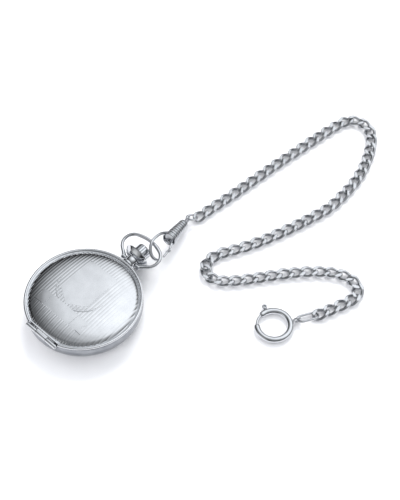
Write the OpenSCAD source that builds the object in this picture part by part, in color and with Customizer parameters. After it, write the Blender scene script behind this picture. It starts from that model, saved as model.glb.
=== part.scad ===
// Hunter pocket watch with its chain, swivel clip and spring ring.
// The watch lies on its back: +Z up through the dial, +Y towards the pendant at 12 o'clock.
// The origin is the centre of the flat back. All dimensions are in millimetres.

/* [Case] */
// Diameter over the rim of the front cover
case_d = 48; // [47.8:0.1:48.4]
// Height of the top of the front cover
cover_top = 13.5; // [13.4:0.1:14.2]
// Sheet thickness of the covers
cover_t = 0.6; // [0.5:0.05:0.7]
// Diameter of the flat part of the back
back_flat_d = 30; // [26:1:32]
// Radial play between covers, hinge tubes and pin
hinge_play = 0.05; // [0.03:0.01:0.08]

/* [Pendant, bow and crown] */
// Height of the pendant axis and of the winding stem
stem_z = 6.8; // [6.7:0.05:6.9]
// Radius of the dome around the crown
dome_r = 6; // [5.6:0.1:6.2]
// Radius of the crown
crown_r = 3.4; // [3.2:0.1:3.6]
// Length of the crown
crown_l = 5.9; // [5.5:0.1:6.2]
// Number of flutes on the crown
crown_flutes = 20; // [16:1:24]
// Half width of the bow, to the centre of its wire
bow_half_w = 9.4; // [9.2:0.1:9.6]
// Wire radius of the bow
bow_wire_r = 0.75; // [0.65:0.05:0.8]
// Angle at which the bow stands above the table
bow_tilt = 14; // [12:1:15]

/* [Movement] */
// Radius of the mainplate
plate_r = 18.3; // [18.1:0.1:18.4]
// Module of the barrel and centre pinion
barrel_m = 0.185; // [0.18:0.005:0.19]
// Number of spokes in the train wheels
spokes = 5; // [4:1:6]
// Radius of the balance wheel
balance_r = 3.4; // [3.2:0.1:3.5]

/* [Chain] */
// Distance between neighbouring links
link_pitch = 5.05; // [5:0.05:5.1]
// Wire radius of a link
link_wire_r = 0.55; // [0.5:0.05:0.6]
// Outer width of a link
link_w = 4.6; // [4.4:0.1:4.8]
// Radius of the spring ring, to the centre of its tube
ring_r = 6.8; // [6.6:0.1:7]
// Tube radius of the spring ring
ring_tube_r = 1.35; // [1.3:0.05:1.4]

/* [Hidden] */
$fn = 48;

eps = 0.01;
case_r = case_d / 2;

// Band of the case
band_lo = 3.4;
band_hi = 9.5;
band_bore_r = 18.5;
ledge_r = 17;
ledge_z = stem_z - 1;
groove_in = 20.9;
groove_out = 22.4;
groove_z = 5.7;
bezel_seat_z = 9.7;

// Lid hinge, at 6 o'clock
hinge_y = -23.1;
hinge_z = 9.6;
hinge_tube_r = 0.9;
hinge_pin_r = 0.35;
hinge_half = 8.2;
knuckle_half = 2.8;

// Pendant and bow
pivot_y = 26.9;
dome_y0 = 28;
dome_y1 = 30.3;
neck_r = 2.3;
sleeve_r = 1.5;
sleeve_bore_r = 0.95;
shaft_r = 0.8;
crown_y0 = 29.6;
press_play = 0.1;

// Heights of the movement's layers, from the stem
plate_lo = stem_z - 1;
plate_hi = stem_z + 1.4;
web_lo = stem_z + 0.5;
dial_z = plate_hi + 0.9;
dial_t = 0.3;
layer_1 = stem_z - 1.1;
layer_2 = stem_z - 0.75;
layer_3 = stem_z - 0.4;
layer_4 = stem_z - 0.05;
wheel_t = 0.2;
bridge_lo = stem_z - 2;
cock_lo = stem_z - 3;

// Tooth counts
barrel_n = 84;
centre_pinion_n = 12;
centre_n = 80;
third_pinion_n = 10;
third_n = 75;
fourth_pinion_n = 10;
fourth_n = 80;
escape_pinion_n = 8;
escape_n = 15;
cannon_n = 12;
minute_n = 36;
minute_pinion_n = 10;
hour_n = 40;
setting_n = 20;
stem_pinion_n = 12;
crown_wheel_n = 28;
ratchet_n = 32;

// Modules
third_m = 0.115;
fourth_m = 0.11;
escape_m = 0.1;
motion_m = 0.2;
hour_m = motion_m * (cannon_n + minute_n) / (minute_pinion_n + hour_n);
winding_m = 0.3;

// Places of the arbors, seen from the dial side
function polar(r, a) = [r * cos(a), r * sin(a)];
barrel_a = 150;
barrel_c = barrel_m * (barrel_n + centre_pinion_n) / 2;
barrel_p = polar(barrel_c, barrel_a);
fourth_p = [0, -7.6];
third_c1 = third_m * (centre_n + third_pinion_n) / 2;
third_c2 = fourth_m * (third_n + fourth_pinion_n) / 2;
third_y = -(pow(third_c1, 2) - pow(third_c2, 2) + pow(fourth_p.y, 2)) / (-2 * fourth_p.y);
third_p = [sqrt(pow(third_c1, 2) - pow(third_y, 2)), third_y];
escape_a = 250;
escape_p = fourth_p + polar(escape_m * (fourth_n + escape_pinion_n) / 2, escape_a);
escape_r = 2.3;
lever_a = 172;
pallet_p = escape_p + polar(2.75, lever_a);
balance_p = escape_p + polar(5.6, lever_a);
minute_a = 60;
minute_p = polar(motion_m * (cannon_n + minute_n) / 2, minute_a);
setting_p = minute_p + polar(motion_m * (minute_n + setting_n) / 2, 108.8);
crown_wheel_r = winding_m * crown_wheel_n / 2;
winding_c = winding_m * (crown_wheel_n + ratchet_n) / 2;
crown_wheel_p = [0, barrel_p.y + sqrt(pow(winding_c, 2) - pow(barrel_p.x, 2))];
ratchet_a = atan2(barrel_p.y - crown_wheel_p.y, barrel_p.x);
pinion_y0 = crown_wheel_p.y + crown_wheel_r - 0.28;

// Swivel clip: barrel axis and the hand-shaped hook
clip_wide = [3.95, 45.55, 7];
clip_narrow = [1.05, 58.05, 3.6];
clip_u = (clip_narrow - clip_wide) / norm(clip_narrow - clip_wide);
clip_len = norm(clip_narrow - clip_wide);
hook_wire_r = 0.62;
hook_pts = [[2.6, 48, 7.5], [1.3, 46.4, 9.1], [1.1, 42.6, 10.9], [1.6, 39, 11.7], [2.2, 36.9, 11.4],
    [3.4, 35.2, 10.3], [4.8, 34.2, 9], [6.5, 34.1, 7.7], [7.8, 35, 6.9], [8.2, 36.6, 6.5]];
arm_pts = [[4.8, 47.6, 6.4], [7.05, 42.85, 6.3]];
gate_pivot = [7.45, 41.4, 6.3];
gate_axis = [0.529, 0.334, 0.779];
gate_tip = [8.1, 37.8, 6.5];

// Chain: its centre line on the table, chosen by hand
chain_z = 1.9;
route = [[2.2, 63.5], [3.5, 73], [5, 83], [6.2, 93], [7.4, 103], [8.7, 113], [10.2, 123], [11.6, 133],
    [13.2, 143], [15, 151], [18.2, 155], [23, 156], [28, 154], [32, 149], [35, 143.5], [38, 136],
    [40.2, 127], [41, 117], [41, 108], [38.6, 98], [35, 86], [30.6, 74], [26.2, 64.5], [22.6, 58.6],
    [20.8, 53], [21.6, 48.4], [25.4, 45.6], [30.2, 46.4], [34.4, 49.8], [40, 56.5], [48, 67],
    [55, 75], [62, 81.2], [67.6, 84], [73, 84.6], [77, 82], [77.8, 77.6], [76, 72.6], [71.2, 60.6]];
ring_p = [61.5, 46];
ring_z = ring_tube_r + 0.1;
gap_a0 = 180;
gap_a1 = 223;
solid_a0 = 240;
solid_a1 = 60;
trigger_a = 154;
bolt_travel = 42;
ring_bore_r = 0.72;
bolt_r = 0.62;
eye_a = 56;
eye_major = 1.3;
eye_wire_r = 0.45;
eye_r = ring_r + ring_tube_r + eye_major + 0.35;

steel = "gainsboro";
dark_steel = "lightslategray";
gilt = "goldenrod";

// ---------- shared shapes ----------

// Trapezoid teeth on a disc; one tooth points at the angle phase
module gear_face(n, m, phase = 0) {
    r = n * m / 2;
    step = 360 / n;
    rotate(phase) polygon([for (i = [0 : n - 1], k = [0 : 3])
        polar(k == 0 || k == 3 ? r - 1.15 * m : r + 0.85 * m,
            step * (i + [-0.29, -0.12, 0.12, 0.29][k]))]);
}

module gear(n, m, z, h, phase = 0) {
    translate([0, 0, z]) linear_extrude(h) gear_face(n, m, phase);
}

// Phase that puts gear b in mesh with gear a, which lies at the angle phi + 180 from it
function mesh(phi, phase_a, na, nb) = phi + 180 + 180 / nb + (phi - phase_a) * na / nb;

// Toothed ring with spokes
module spoked_wheel(n, m, z, phase = 0, hub_r = 0.8) {
    r = n * m / 2;
    translate([0, 0, z]) linear_extrude(wheel_t) {
        difference() {
            gear_face(n, m, phase);
            circle(r - 4 * m);
        }
        circle(hub_r);
        for (i = [0 : spokes - 1]) rotate(i * 360 / spokes)
            translate([0, -1.2 * m]) square([r - 3.5 * m, 2.4 * m]);
    }
}

module arbor(r, z0, z1) {
    translate([0, 0, z0]) cylinder(r = r, h = z1 - z0);
}

// Solid of revolution about the pendant axis; points are [radius, y]
module around_stem(points) {
    translate([0, 0, stem_z]) rotate([-90, 0, 0]) rotate_extrude()
        polygon(points);
}

module rod_y(r, y0, y1) {
    translate([0, y0, stem_z]) rotate([-90, 0, 0]) cylinder(r = r, h = y1 - y0);
}

module rod(a, b, r) {
    d = b - a;
    translate(a) rotate([0, acos(d.z / norm(d)), atan2(d.y, d.x)]) cylinder(r = r, h = norm(d));
}

// Round wire through points
module wire(points, r) {
    for (i = [0 : len(points) - 2]) hull() {
        translate(points[i]) sphere(r, $fn = 16);
        translate(points[i + 1]) sphere(r, $fn = 16);
    }
}

// Slotted screw: head from z to z + 0.5, shank upwards
module screw(x, y, z, head_r, shank_r, shank_l) {
    translate([x, y, z]) difference() {
        union() {
            cylinder(r = head_r, h = 0.5);
            cylinder(r = shank_r, h = 0.5 + shank_l);
        }
        translate([-head_r, -0.12, -eps]) cube([2 * head_r, 0.24, 0.2]);
    }
}

function arc(c, r, a0, a1, n) = [for (i = [0 : n]) c + polar(r, a0 + (a1 - a0) * i / n)];

// Part of a ring wall between two angles
module ring_sector(r0, r1, a0, a1, z0, z1) {
    translate([0, 0, z0]) rotate(a0) rotate_extrude(angle = a1 - a0)
        translate([r0, 0]) square([r1 - r0, z1 - z0]);
}

module hinge_cylinder(r, x0, x1) {
    translate([x0, hinge_y, hinge_z]) rotate([0, 90, 0]) cylinder(r = r, h = x1 - x0);
}

// ---------- case ----------

band_mid = (band_lo + band_hi) / 2;
band_half = (band_hi - band_lo) / 2;
band_bulge = 1.15;
band_arc_r = (pow(band_half, 2) + pow(band_bulge, 2)) / (2 * band_bulge);
band_arc_a = asin(band_half / band_arc_r);
case_screw_at = [for (a = [200, 340]) polar(17.75, a)];
spring_screw_at = [for (a = [150, 232]) polar(21.65, a)];

module case_middle() {
    band = concat(
        [[ledge_r, band_lo], [21.4, band_lo], [21.4, 4.5], [22.3, 4.5], [22.3, band_lo]],
        arc([case_r - band_arc_r, band_mid], band_arc_r, -band_arc_a, band_arc_a, 10),
        [[groove_out, band_hi], [groove_out, groove_z], [groove_in, groove_z],
            [groove_in, bezel_seat_z], [band_bore_r, bezel_seat_z], [band_bore_r, ledge_z],
            [ledge_r, ledge_z]]);
    color(steel) difference() {
        rotate_extrude($fn = 96) polygon(band);
        rod_y(shaft_r + 0.2, 15, 22);
        rod_y(sleeve_r + press_play, 21.35, 26);
        rod_y(neck_r, 22.7, 26);
        translate([-hinge_half - 0.1, -26, 8.4]) cube([2 * hinge_half + 0.2, 26 + hinge_y + 1.2, 3]);
        for (p = case_screw_at) translate([p.x, p.y, 3]) {
            cylinder(r = 0.85, h = 1.7);
            cylinder(r = 0.35, h = 4);
        }
        for (p = spring_screw_at) translate([p.x, p.y, 4.6]) cylinder(r = 0.35, h = 3);
    }
}

module back_cover() {
    flat_r = back_flat_d / 2;
    rise = band_lo - 0.1;
    edge_r = case_r - 1.2;
    outer = [for (i = [0 : 8]) [flat_r + (edge_r - flat_r) * sin(90 * i / 8),
        rise * (1 - cos(90 * i / 8))]];
    color(steel) rotate_extrude($fn = 96) {
        polygon(concat([[0, 0]], outer, [[edge_r - cover_t, rise]],
            [for (i = [8 : -1 : 0]) [outer[i].x - cover_t * sin(90 * i / 8),
                outer[i].y + cover_t * cos(90 * i / 8)]], [[0, cover_t]]));
        polygon([[21.4 + hinge_play, rise - 0.35], [22.3 - hinge_play, rise - 0.35],
            [22.3 - hinge_play, 4.3], [21.4 + hinge_play, 4.3]]);
    }
}

module front_cover() {
    rim_lo = band_hi + 0.2;
    rim_r = case_r + 0.05;
    t = cover_t;
    outer = concat([[rim_r - 0.7, rim_lo], [rim_r - 0.15, rim_lo + 0.3]],
        arc([rim_r - 2, rim_lo + 1.3], 2, 0, 70, 6),
        [[18, cover_top - 0.4], [10, cover_top - 0.1], [0, cover_top]]);
    inner = concat([[0, cover_top - t], [10, cover_top - 0.1 - t], [18, cover_top - 0.4 - t]],
        arc([rim_r - 2, rim_lo + 1.3], 2 - t, 70, 0, 6), [[rim_r - 0.9, rim_lo]]);
    color(steel) {
        difference() {
            rotate_extrude($fn = 96) polygon(concat(outer, inner));
            translate([-hinge_half - 0.1, -26, 9]) cube([2 * hinge_half + 0.2, 26 + hinge_y + 1.3, 6]);
        }
        ring_sector(22.25, rim_r - 0.6, 84, 96, rim_lo + 0.1, rim_lo + 0.35);
        translate([-hinge_half + 0.2, hinge_y + 1.25, rim_lo + 0.3])
            cube([2 * hinge_half - 0.4, 0.45, 2.3]);
    }
}

module lid_hinge_tube() {
    color(steel) difference() {
        union() {
            hinge_cylinder(hinge_tube_r, -knuckle_half, knuckle_half);
            translate([-knuckle_half, hinge_y, hinge_z + 0.45])
                cube([2 * knuckle_half, 1.25, 0.4]);
        }
        hinge_cylinder(hinge_pin_r + hinge_play, -5, 5);
    }
}

module case_hinge_tubes() {
    color(steel) for (s = [0, 1]) mirror([s, 0, 0]) difference() {
        union() {
            hinge_cylinder(hinge_tube_r, knuckle_half + 0.1, hinge_half);
            translate([knuckle_half + 0.1, hinge_y, 8.4])
                cube([hinge_half - knuckle_half - 0.1, 1.15, 0.6]);
        }
        hinge_cylinder(hinge_pin_r, 0, 10);
    }
}

module hinge_pin() {
    color(dark_steel) hinge_cylinder(hinge_pin_r, -hinge_half, hinge_half);
}

spring_r0 = 21.5;
spring_r1 = 21.9;

module lift_spring() {
    p = spring_screw_at[1];
    color(dark_steel) difference() {
        union() {
            difference() {
                ring_sector(spring_r0, spring_r1, 229, 288, 5.85, 9.3);
                ring_sector(spring_r0 - 1, spring_r1 + 1, 228, 276, 7.6, 10);
            }
            ring_sector(21.1, 22.2, 227, 236, 5.75, 6);
        }
        translate([p.x, p.y, 5]) cylinder(r = 0.35, h = 3);
        translate([p.x, p.y, 6]) cylinder(r = 0.75, h = 3);
    }
}

// Its nib catches the lip of the front cover; the push sleeve presses it inwards
module lock_spring() {
    nib_lo = band_hi + 0.2 + 0.35 + 0.1;
    color(dark_steel) difference() {
        union() {
            ring_sector(spring_r0, spring_r1, 55, 125, 5.8, 8.8);
            translate([-1.5, spring_r0 + 0.05, 8]) cube([3, 0.3, nib_lo + 0.3 - 8]);
            translate([-1.5, spring_r0 + 0.05, nib_lo]) cube([3, 0.85, 0.3]);
        }
        rod_y(shaft_r + 0.15, 18, 24);
        translate([-shaft_r - 0.15, 18, 5]) cube([2 * shaft_r + 0.3, 6, stem_z - 5]);
    }
}

module case_screws() {
    color(dark_steel) {
        for (p = case_screw_at) screw(p.x, p.y, 4.2, 0.8, 0.35, 2);
        translate([0, 0, 11]) mirror([0, 0, 1])
            screw(spring_screw_at[1].x, spring_screw_at[1].y, 4.5, 0.7, 0.35, 1.3);
    }
}

module crystal_bezel() {
    z = bezel_seat_z;
    color(steel) rotate_extrude($fn = 96) polygon([[17.9, z], [20.7, z], [20.7, z + 0.7],
        [19.8, z + 1.8], [18.7, z + 2], [18.7, z + 1.6], [19, z + 1.6], [19, z + 1.05],
        [17.9, z + 1.05]]);
}

module crystal() {
    z = bezel_seat_z + 1.05;
    color("lightcyan", 0.3) rotate_extrude($fn = 96) polygon([[0, z + 0.75], [10, z + 0.55],
        [17.6, z], [18.96, z], [18.96, z + 0.5], [18.6, z + 0.55], [10, z + 1.15], [0, z + 1.35]]);
}

// ---------- pendant, bow and crown ----------

module pendant() {
    wall = 0.5;
    function flank(s) = [neck_r + (dome_r - neck_r) * s,
        dome_y0 + (dome_y1 - dome_y0) * s - 0.45 * sin(180 * s)];
    outer = [for (i = [0 : 8]) flank(i / 8)];
    inner = [for (i = [8 : -1 : 1]) flank(i / 8) + [-wall * 0.55, wall * 0.85]];
    color(steel) difference() {
        around_stem(concat([[sleeve_r + press_play, 22.7], [neck_r, 22.7], [neck_r, 24.2]],
            arc([neck_r + 0.1, 25], 0.8, -75, 75, 6),
            [[neck_r, 25.9], [neck_r + 0.3, 26.2], [neck_r + 0.3, 27.6]],
            outer, inner, [[sleeve_r + press_play, 28.9]]));
        for (s = [0, 1]) mirror([s, 0, 0]) translate([1, pivot_y, stem_z]) rotate([0, 90, 0])
            cylinder(r = 0.45, h = 3);
    }
}

// Bow: two round sides, a flatter and slightly thicker top, and straight feet
bow_side_r = 4.6;
bow_side = [bow_half_w - bow_side_r, 6.4];
bow_top_v = 12;
bow_rise = bow_top_v - bow_side.y - bow_side_r;
bow_drop = (pow(bow_side.x, 2) - pow(bow_rise, 2)) / (2 * bow_rise);
bow_top_r = bow_top_v - bow_side.y + bow_drop;
bow_join_a = atan2(bow_side.x, bow_drop);
bow_thick_r = bow_wire_r + 0.05;
bow_lap_a = 3;
foot = [3.8, 0];
foot_a = atan2(-bow_side.y, foot.x - bow_side.x) + acos(bow_side_r / norm(bow_side - foot));
foot_end = bow_side + polar(bow_side_r, foot_a);

module torus_arc(c, r, a0, a1, wire_r) {
    translate([c.x, c.y, 0]) rotate(a0) rotate_extrude(angle = a1 - a0)
        translate([r, 0]) circle(wire_r, $fn = 32);
}

module bow() {
    color(steel) translate([0, pivot_y, stem_z]) difference() {
        rotate([bow_tilt, 0, 0]) {
            torus_arc([0, bow_side.y - bow_drop], bow_top_r, 90 - bow_join_a, 90 + bow_join_a,
                bow_thick_r);
            for (s = [0, 1]) mirror([s, 0, 0]) {
                torus_arc(bow_side, bow_side_r, foot_a - bow_lap_a, 90 - bow_join_a + bow_lap_a,
                    bow_wire_r);
                rod([foot.x, foot.y, 0], [foot_end.x, foot_end.y, 0], bow_thick_r);
                translate([2.85, 0, 0]) rotate([0, 90, 0]) cylinder(r = 1.05, h = 2);
            }
        }
        for (s = [0, 1]) mirror([s, 0, 0]) {
            translate([2, 0, 0]) rotate([0, 90, 0]) cylinder(r = 0.5, h = 4.5);
            translate([4.5, 0, 0]) rotate([0, 90, 0]) cylinder(r = 0.78, h = 1.6);
        }
    }
}

module bow_screws() {
    color(dark_steel) for (s = [0, 1]) mirror([s, 0, 0]) translate([0, pivot_y, stem_z])
        rotate([0, 90, 0]) {
            translate([0, 0, 1.75]) cylinder(r = 0.45, h = 3);
            translate([0, 0, 4.6]) cylinder(r = 0.7, h = 0.4);
        }
}

module crown() {
    y1 = crown_y0 + crown_l;
    color(steel) difference() {
        around_stem(concat([[0, crown_y0], [crown_r - 0.4, crown_y0], [crown_r, crown_y0 + 0.5]],
            [[crown_r, y1 - 0.8]], arc([crown_r - 0.8, y1 - 0.8], 0.8, 10, 90, 4), [[0, y1 + 0.15]]));
        rod_y(shaft_r + hinge_play, crown_y0 - 1, crown_y0 + 2);
        for (i = [0 : crown_flutes - 1]) translate([0, 0, stem_z])
            rotate([0, i * 360 / crown_flutes, 0]) translate([crown_r + 0.08, crown_y0 - 1, 0])
                rotate([-90, 0, 0]) cylinder(r = 0.3, h = crown_l - 0.2, $fn = 16);
    }
}

module push_sleeve() {
    color(dark_steel) difference() {
        rod_y(sleeve_r, spring_r1 + 0.05, crown_y0 - 0.02);
        rod_y(sleeve_bore_r, 20, 32);
    }
}

module winding_stem() {
    color(dark_steel) {
        rod_y(0.45, 10, 11);
        rod_y(0.6, 10.9, 15);
        rod_y(shaft_r, 14.9, crown_y0 + 1.4);
    }
}

// ---------- winding work ----------

module winding_pinion() {
    r = stem_pinion_n * winding_m / 2;
    color(dark_steel) translate([0, pinion_y0, stem_z]) rotate([-90, 0, 0]) difference() {
        union() {
            linear_extrude(0.9) polygon([for (i = [0 : stem_pinion_n - 1], k = [0 : 3])
                polar(k == 0 || k == 3 ? r - 0.35 : r + 0.14,
                    90 + 360 / stem_pinion_n * (i + [-0.2, -0.1, 0.1, 0.2][k]))]);
            cylinder(r = r - 0.3, h = 1.1);
        }
        translate([0, 0, -1]) cylinder(r = 0.6, h = 3);
    }
}

module clutch_wheel() {
    color(dark_steel) difference() {
        union() {
            rod_y(1, 10.9, 11.6);
            rod_y(0.8, 11.5, 12.1);
            rod_y(1, 12, pinion_y0 - 0.05);
            for (i = [0 : 9]) translate([0, 0, stem_z]) rotate([0, i * 36, 0])
                translate([0.9, 10.9, -0.12]) cube([0.25, 0.6, 0.24]);
        }
        rod_y(0.6, 10, 14);
    }
}

module crown_wheel() {
    color(dark_steel) translate([crown_wheel_p.x, crown_wheel_p.y, 0]) difference() {
        union() {
            gear(crown_wheel_n, winding_m, stem_z - 2.3, 0.7, 90 + 180 / crown_wheel_n);
            arbor(0.9, stem_z - 2.3, stem_z - 1.6);
        }
        difference() {
            arbor(crown_wheel_r - 0.75, stem_z - 2, stem_z - 1);
            arbor(0.9, stem_z - 3, stem_z);
        }
        arbor(0.5, 0, 10);
    }
}

ratchet_phase = mesh(ratchet_a, 90 + 180 / crown_wheel_n, crown_wheel_n, ratchet_n);

module ratchet_wheel() {
    color(steel) translate([barrel_p.x, barrel_p.y, 0]) difference() {
        gear(ratchet_n, winding_m, stem_z - 2.3, 0.5, ratchet_phase);
        arbor(0.45, 0, 10);
    }
}

module ratchet_screw() {
    color("royalblue") screw(barrel_p.x, barrel_p.y, stem_z - 2.8, 1.2, 0.45, 0.8);
}

click_a = 245;
click_p = barrel_p + polar(6.5, click_a + 25);
click_tip = barrel_p + polar(5.1, click_a);

module click() {
    color(steel) translate([0, 0, stem_z - 2.3]) difference() {
        linear_extrude(0.45) union() {
            translate(click_p) circle(0.7);
            polygon([click_p + polar(0.65, 60), click_tip, click_tip + polar(0.7, click_a - 25),
                click_p + polar(0.65, 200)]);
        }
        translate([click_p.x, click_p.y, -1]) cylinder(r = 0.36, h = 3);
    }
}

module click_spring() {
    color(steel) translate([click_p.x, click_p.y, stem_z - 2.3]) {
        rotate(169) rotate_extrude(angle = 91) translate([2.1, 0]) square([0.2, 0.35]);
        rotate(255) translate([2.2, 0, 0]) cylinder(r = 0.35, h = 0.75);
    }
}

// ---------- plates and bridges ----------

bridge_screw_at = [polar(15.9, 112), polar(16, 178), polar(15.3, 15), polar(15.3, 318)];
cock_screw = polar(15.6, 262);
pallet_screw = pallet_p + polar(2.9, lever_a + 103);

module mainplate() {
    color(gilt) difference() {
        union() {
            arbor(plate_r, web_lo, plate_hi);
            difference() {
                arbor(plate_r, plate_lo, dial_z);
                arbor(17.2, 0, 20);
            }
            for (p = bridge_screw_at) translate([p.x, p.y, 0]) arbor(1.5, layer_1 + 0.25, web_lo + eps);
            translate([cock_screw.x, cock_screw.y, 0]) arbor(1.3, stem_z - 2.3, web_lo + eps);
            translate([pallet_screw.x, pallet_screw.y, 0]) arbor(0.6, layer_2 - 0.35, web_lo + eps);
            translate([minute_p.x, minute_p.y, 0]) arbor(0.3, plate_hi - eps, dial_z - 0.05);
            translate([setting_p.x, setting_p.y, 0]) arbor(0.3, plate_hi - eps, plate_hi + 0.5);
        }
        translate([barrel_p.x, barrel_p.y, 0]) {
            arbor(8.15, 0, stem_z + 1);
            arbor(0.5, 0, 20);
        }
        arbor(1.4, 0, stem_z + 0.75);
        translate([-2.4, 10.7, 0]) cube([4.8, 10, dial_z - 0.2]);
        rod_y(0.5, 9.8, 12);
        rod_y(shaft_r + 0.1, 9.8, 19);
        for (p = bridge_screw_at) translate([p.x, p.y, 0]) arbor(0.35, 0, web_lo);
        translate([cock_screw.x, cock_screw.y, 0]) arbor(0.35, 0, web_lo);
        translate([pallet_screw.x, pallet_screw.y, 0]) arbor(0.35, 0, web_lo);
        for (p = case_screw_at) translate([p.x, p.y, 0]) arbor(0.35, 0, 6.8);
        for (p = [third_p, escape_p, pallet_p, balance_p]) translate([p.x, p.y, 0])
            arbor(0.55, 0, 20);
        translate([fourth_p.x, fourth_p.y, 0]) arbor(0.55, 0, 20);
        arbor(0.75, 0, 20);
    }
}

module plate_bar(points, w) {
    for (i = [0 : len(points) - 2]) hull() {
        translate(points[i]) circle(w, $fn = 32);
        translate(points[i + 1]) circle(w, $fn = 32);
    }
}

module barrel_bridge() {
    z = stem_z - 1.55;
    color(gilt) difference() {
        union() {
            translate([0, 0, z]) linear_extrude(0.62) difference() {
                intersection() {
                    circle(16.9);
                    union() {
                        translate(barrel_p) circle(8.2);
                        translate(crown_wheel_p) circle(3.9);
                        polygon([[0, 0], polar(22, 100), polar(22, 125), polar(22, 160),
                            polar(22, 184)]);
                    }
                }
                circle(5);
                translate(click_p) circle(0.3);
            }
            translate([crown_wheel_p.x, crown_wheel_p.y, 0]) arbor(0.45, stem_z - 2.35, z + eps);
            translate([click_p.x, click_p.y, 0]) arbor(0.3, stem_z - 2.35, z + 0.62);
        }
        translate([barrel_p.x, barrel_p.y, 0]) arbor(0.95, 0, 20);
        for (i = [0, 1]) translate([bridge_screw_at[i].x, bridge_screw_at[i].y, 0])
            arbor(0.35, 0, 20);
        translate([-1.4, 10.7, stem_z - 1.25]) cube([2.8, pinion_y0 - 10.7, 2]);
    }
}

module train_bridge() {
    z = bridge_lo;
    color(gilt) difference() {
        union() {
            translate([0, 0, z]) linear_extrude(0.65)
                plate_bar([[0, 0], third_p, fourth_p, escape_p], 1.3);
            translate([0, 0, z]) linear_extrude(0.65)
                plate_bar([bridge_screw_at[2], third_p, bridge_screw_at[3]], 1.5);
            for (i = [2, 3]) translate([bridge_screw_at[i].x, bridge_screw_at[i].y, 0])
                arbor(1.5, z, layer_1 + 0.24);
        }
        for (p = [[0, 0], third_p, fourth_p, escape_p]) translate([p.x, p.y, 0]) arbor(0.55, 0, 20);
        for (i = [2, 3]) translate([bridge_screw_at[i].x, bridge_screw_at[i].y, 0]) arbor(0.35, 0, 20);
    }
}

module balance_cock() {
    color(gilt) difference() {
        union() {
            translate([0, 0, cock_lo]) linear_extrude(0.7) plate_bar([cock_screw, balance_p], 1.3);
            translate([cock_screw.x, cock_screw.y, 0]) arbor(1.3, cock_lo, stem_z - 2.3);
        }
        translate([balance_p.x, balance_p.y, 0]) arbor(0.55, 0, 20);
        translate([cock_screw.x, cock_screw.y, 0]) arbor(0.35, 0, 20);
    }
}

module pallet_bridge() {
    z = layer_2 - 0.65;
    color(gilt) difference() {
        translate([0, 0, z]) linear_extrude(0.3) plate_bar([pallet_screw, pallet_p], 0.65);
        translate([pallet_p.x, pallet_p.y, 0]) arbor(0.3, 0, 20);
        translate([pallet_screw.x, pallet_screw.y, 0]) arbor(0.35, 0, 20);
    }
}

module movement_screws() {
    color("royalblue") {
        for (i = [0, 1]) screw(bridge_screw_at[i].x, bridge_screw_at[i].y, stem_z - 2.05, 0.9, 0.35,
            1.8);
        for (i = [2, 3]) screw(bridge_screw_at[i].x, bridge_screw_at[i].y, bridge_lo - 0.5, 0.9,
            0.35, 2);
        screw(cock_screw.x, cock_screw.y, cock_lo - 0.5, 0.9, 0.35, 3);
        screw(pallet_screw.x, pallet_screw.y, layer_2 - 1.15, 0.6, 0.35, 1.4);
        screw(crown_wheel_p.x, crown_wheel_p.y, stem_z - 2.9, 1.3, 0.2, 0.04);
    }
}

module jewel(p, z, hole_r) {
    translate([p.x, p.y, z]) difference() {
        cylinder(r = 0.55, h = 0.3);
        translate([0, 0, -1]) cylinder(r = hole_r, h = 3);
    }
}

module jewels() {
    color("crimson") {
        for (p = [third_p, escape_p, pallet_p, balance_p]) jewel(p, plate_hi - 0.35, 0.15);
        jewel(fourth_p, plate_hi - 0.35, 0.21);
        for (p = [third_p, fourth_p, escape_p]) jewel(p, bridge_lo + 0.1, 0.15);
        jewel([0, 0], bridge_lo + 0.1, 0.25);
        jewel(balance_p, cock_lo + 0.1, 0.15);
    }
}

// ---------- barrel and train ----------

module barrel() {
    color(gilt) translate([barrel_p.x, barrel_p.y, 0]) difference() {
        union() {
            gear(barrel_n, barrel_m, layer_4, 0.4, barrel_a + 180);
            arbor(7.4, stem_z - 0.7, stem_z + 0.9);
        }
        arbor(6.9, stem_z - 1, stem_z + 0.6);
        arbor(0.5, 0, 20);
    }
}

module barrel_cover() {
    color(gilt) translate([barrel_p.x, barrel_p.y, stem_z - 0.7]) difference() {
        cylinder(r = 6.9, h = 0.25);
        translate([0, 0, -1]) cylinder(r = 0.95, h = 3);
    }
}

module barrel_arbor() {
    color(dark_steel) translate([barrel_p.x, barrel_p.y, 0]) difference() {
        union() {
            arbor(0.9, stem_z - 1.8, stem_z - 0.4);
            arbor(2, stem_z - 0.4, stem_z + 0.5);
            arbor(0.45, stem_z + 0.4, stem_z + 1.35);
        }
        arbor(0.45, 0, stem_z - 0.99);
    }
}

// Coiled strip as nested rings joined into one spiral by half turns
module half_turns(r0, gap, turns, t, h) {
    for (i = [0 : 2 * turns - 1]) translate([i % 2 == 0 ? 0 : gap / 2, 0, 0]) rotate(i * 180)
        rotate_extrude(angle = 180) translate([r0 + i * gap / 2, 0]) square([t, h]);
}

module mainspring() {
    color("steelblue") translate([barrel_p.x, barrel_p.y, stem_z - 0.35])
        half_turns(2.3, 0.5, 8, 0.12, 0.85);
}

module centre_wheel() {
    color(gilt) {
        spoked_wheel(centre_n, third_m, layer_1, atan2(third_p.y, third_p.x));
        gear(centre_pinion_n, barrel_m, layer_4 - 0.05, 0.55,
            mesh(barrel_a + 180, barrel_a + 180, barrel_n, centre_pinion_n));
        arbor(0.3, layer_1 - 0.1, plate_hi + 1.6);
        arbor(0.2, bridge_lo + 0.05, layer_1);
    }
}

third_phi = atan2(third_p.y, third_p.x);
fourth_phi = atan2(fourth_p.y - third_p.y, fourth_p.x - third_p.x);

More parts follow.
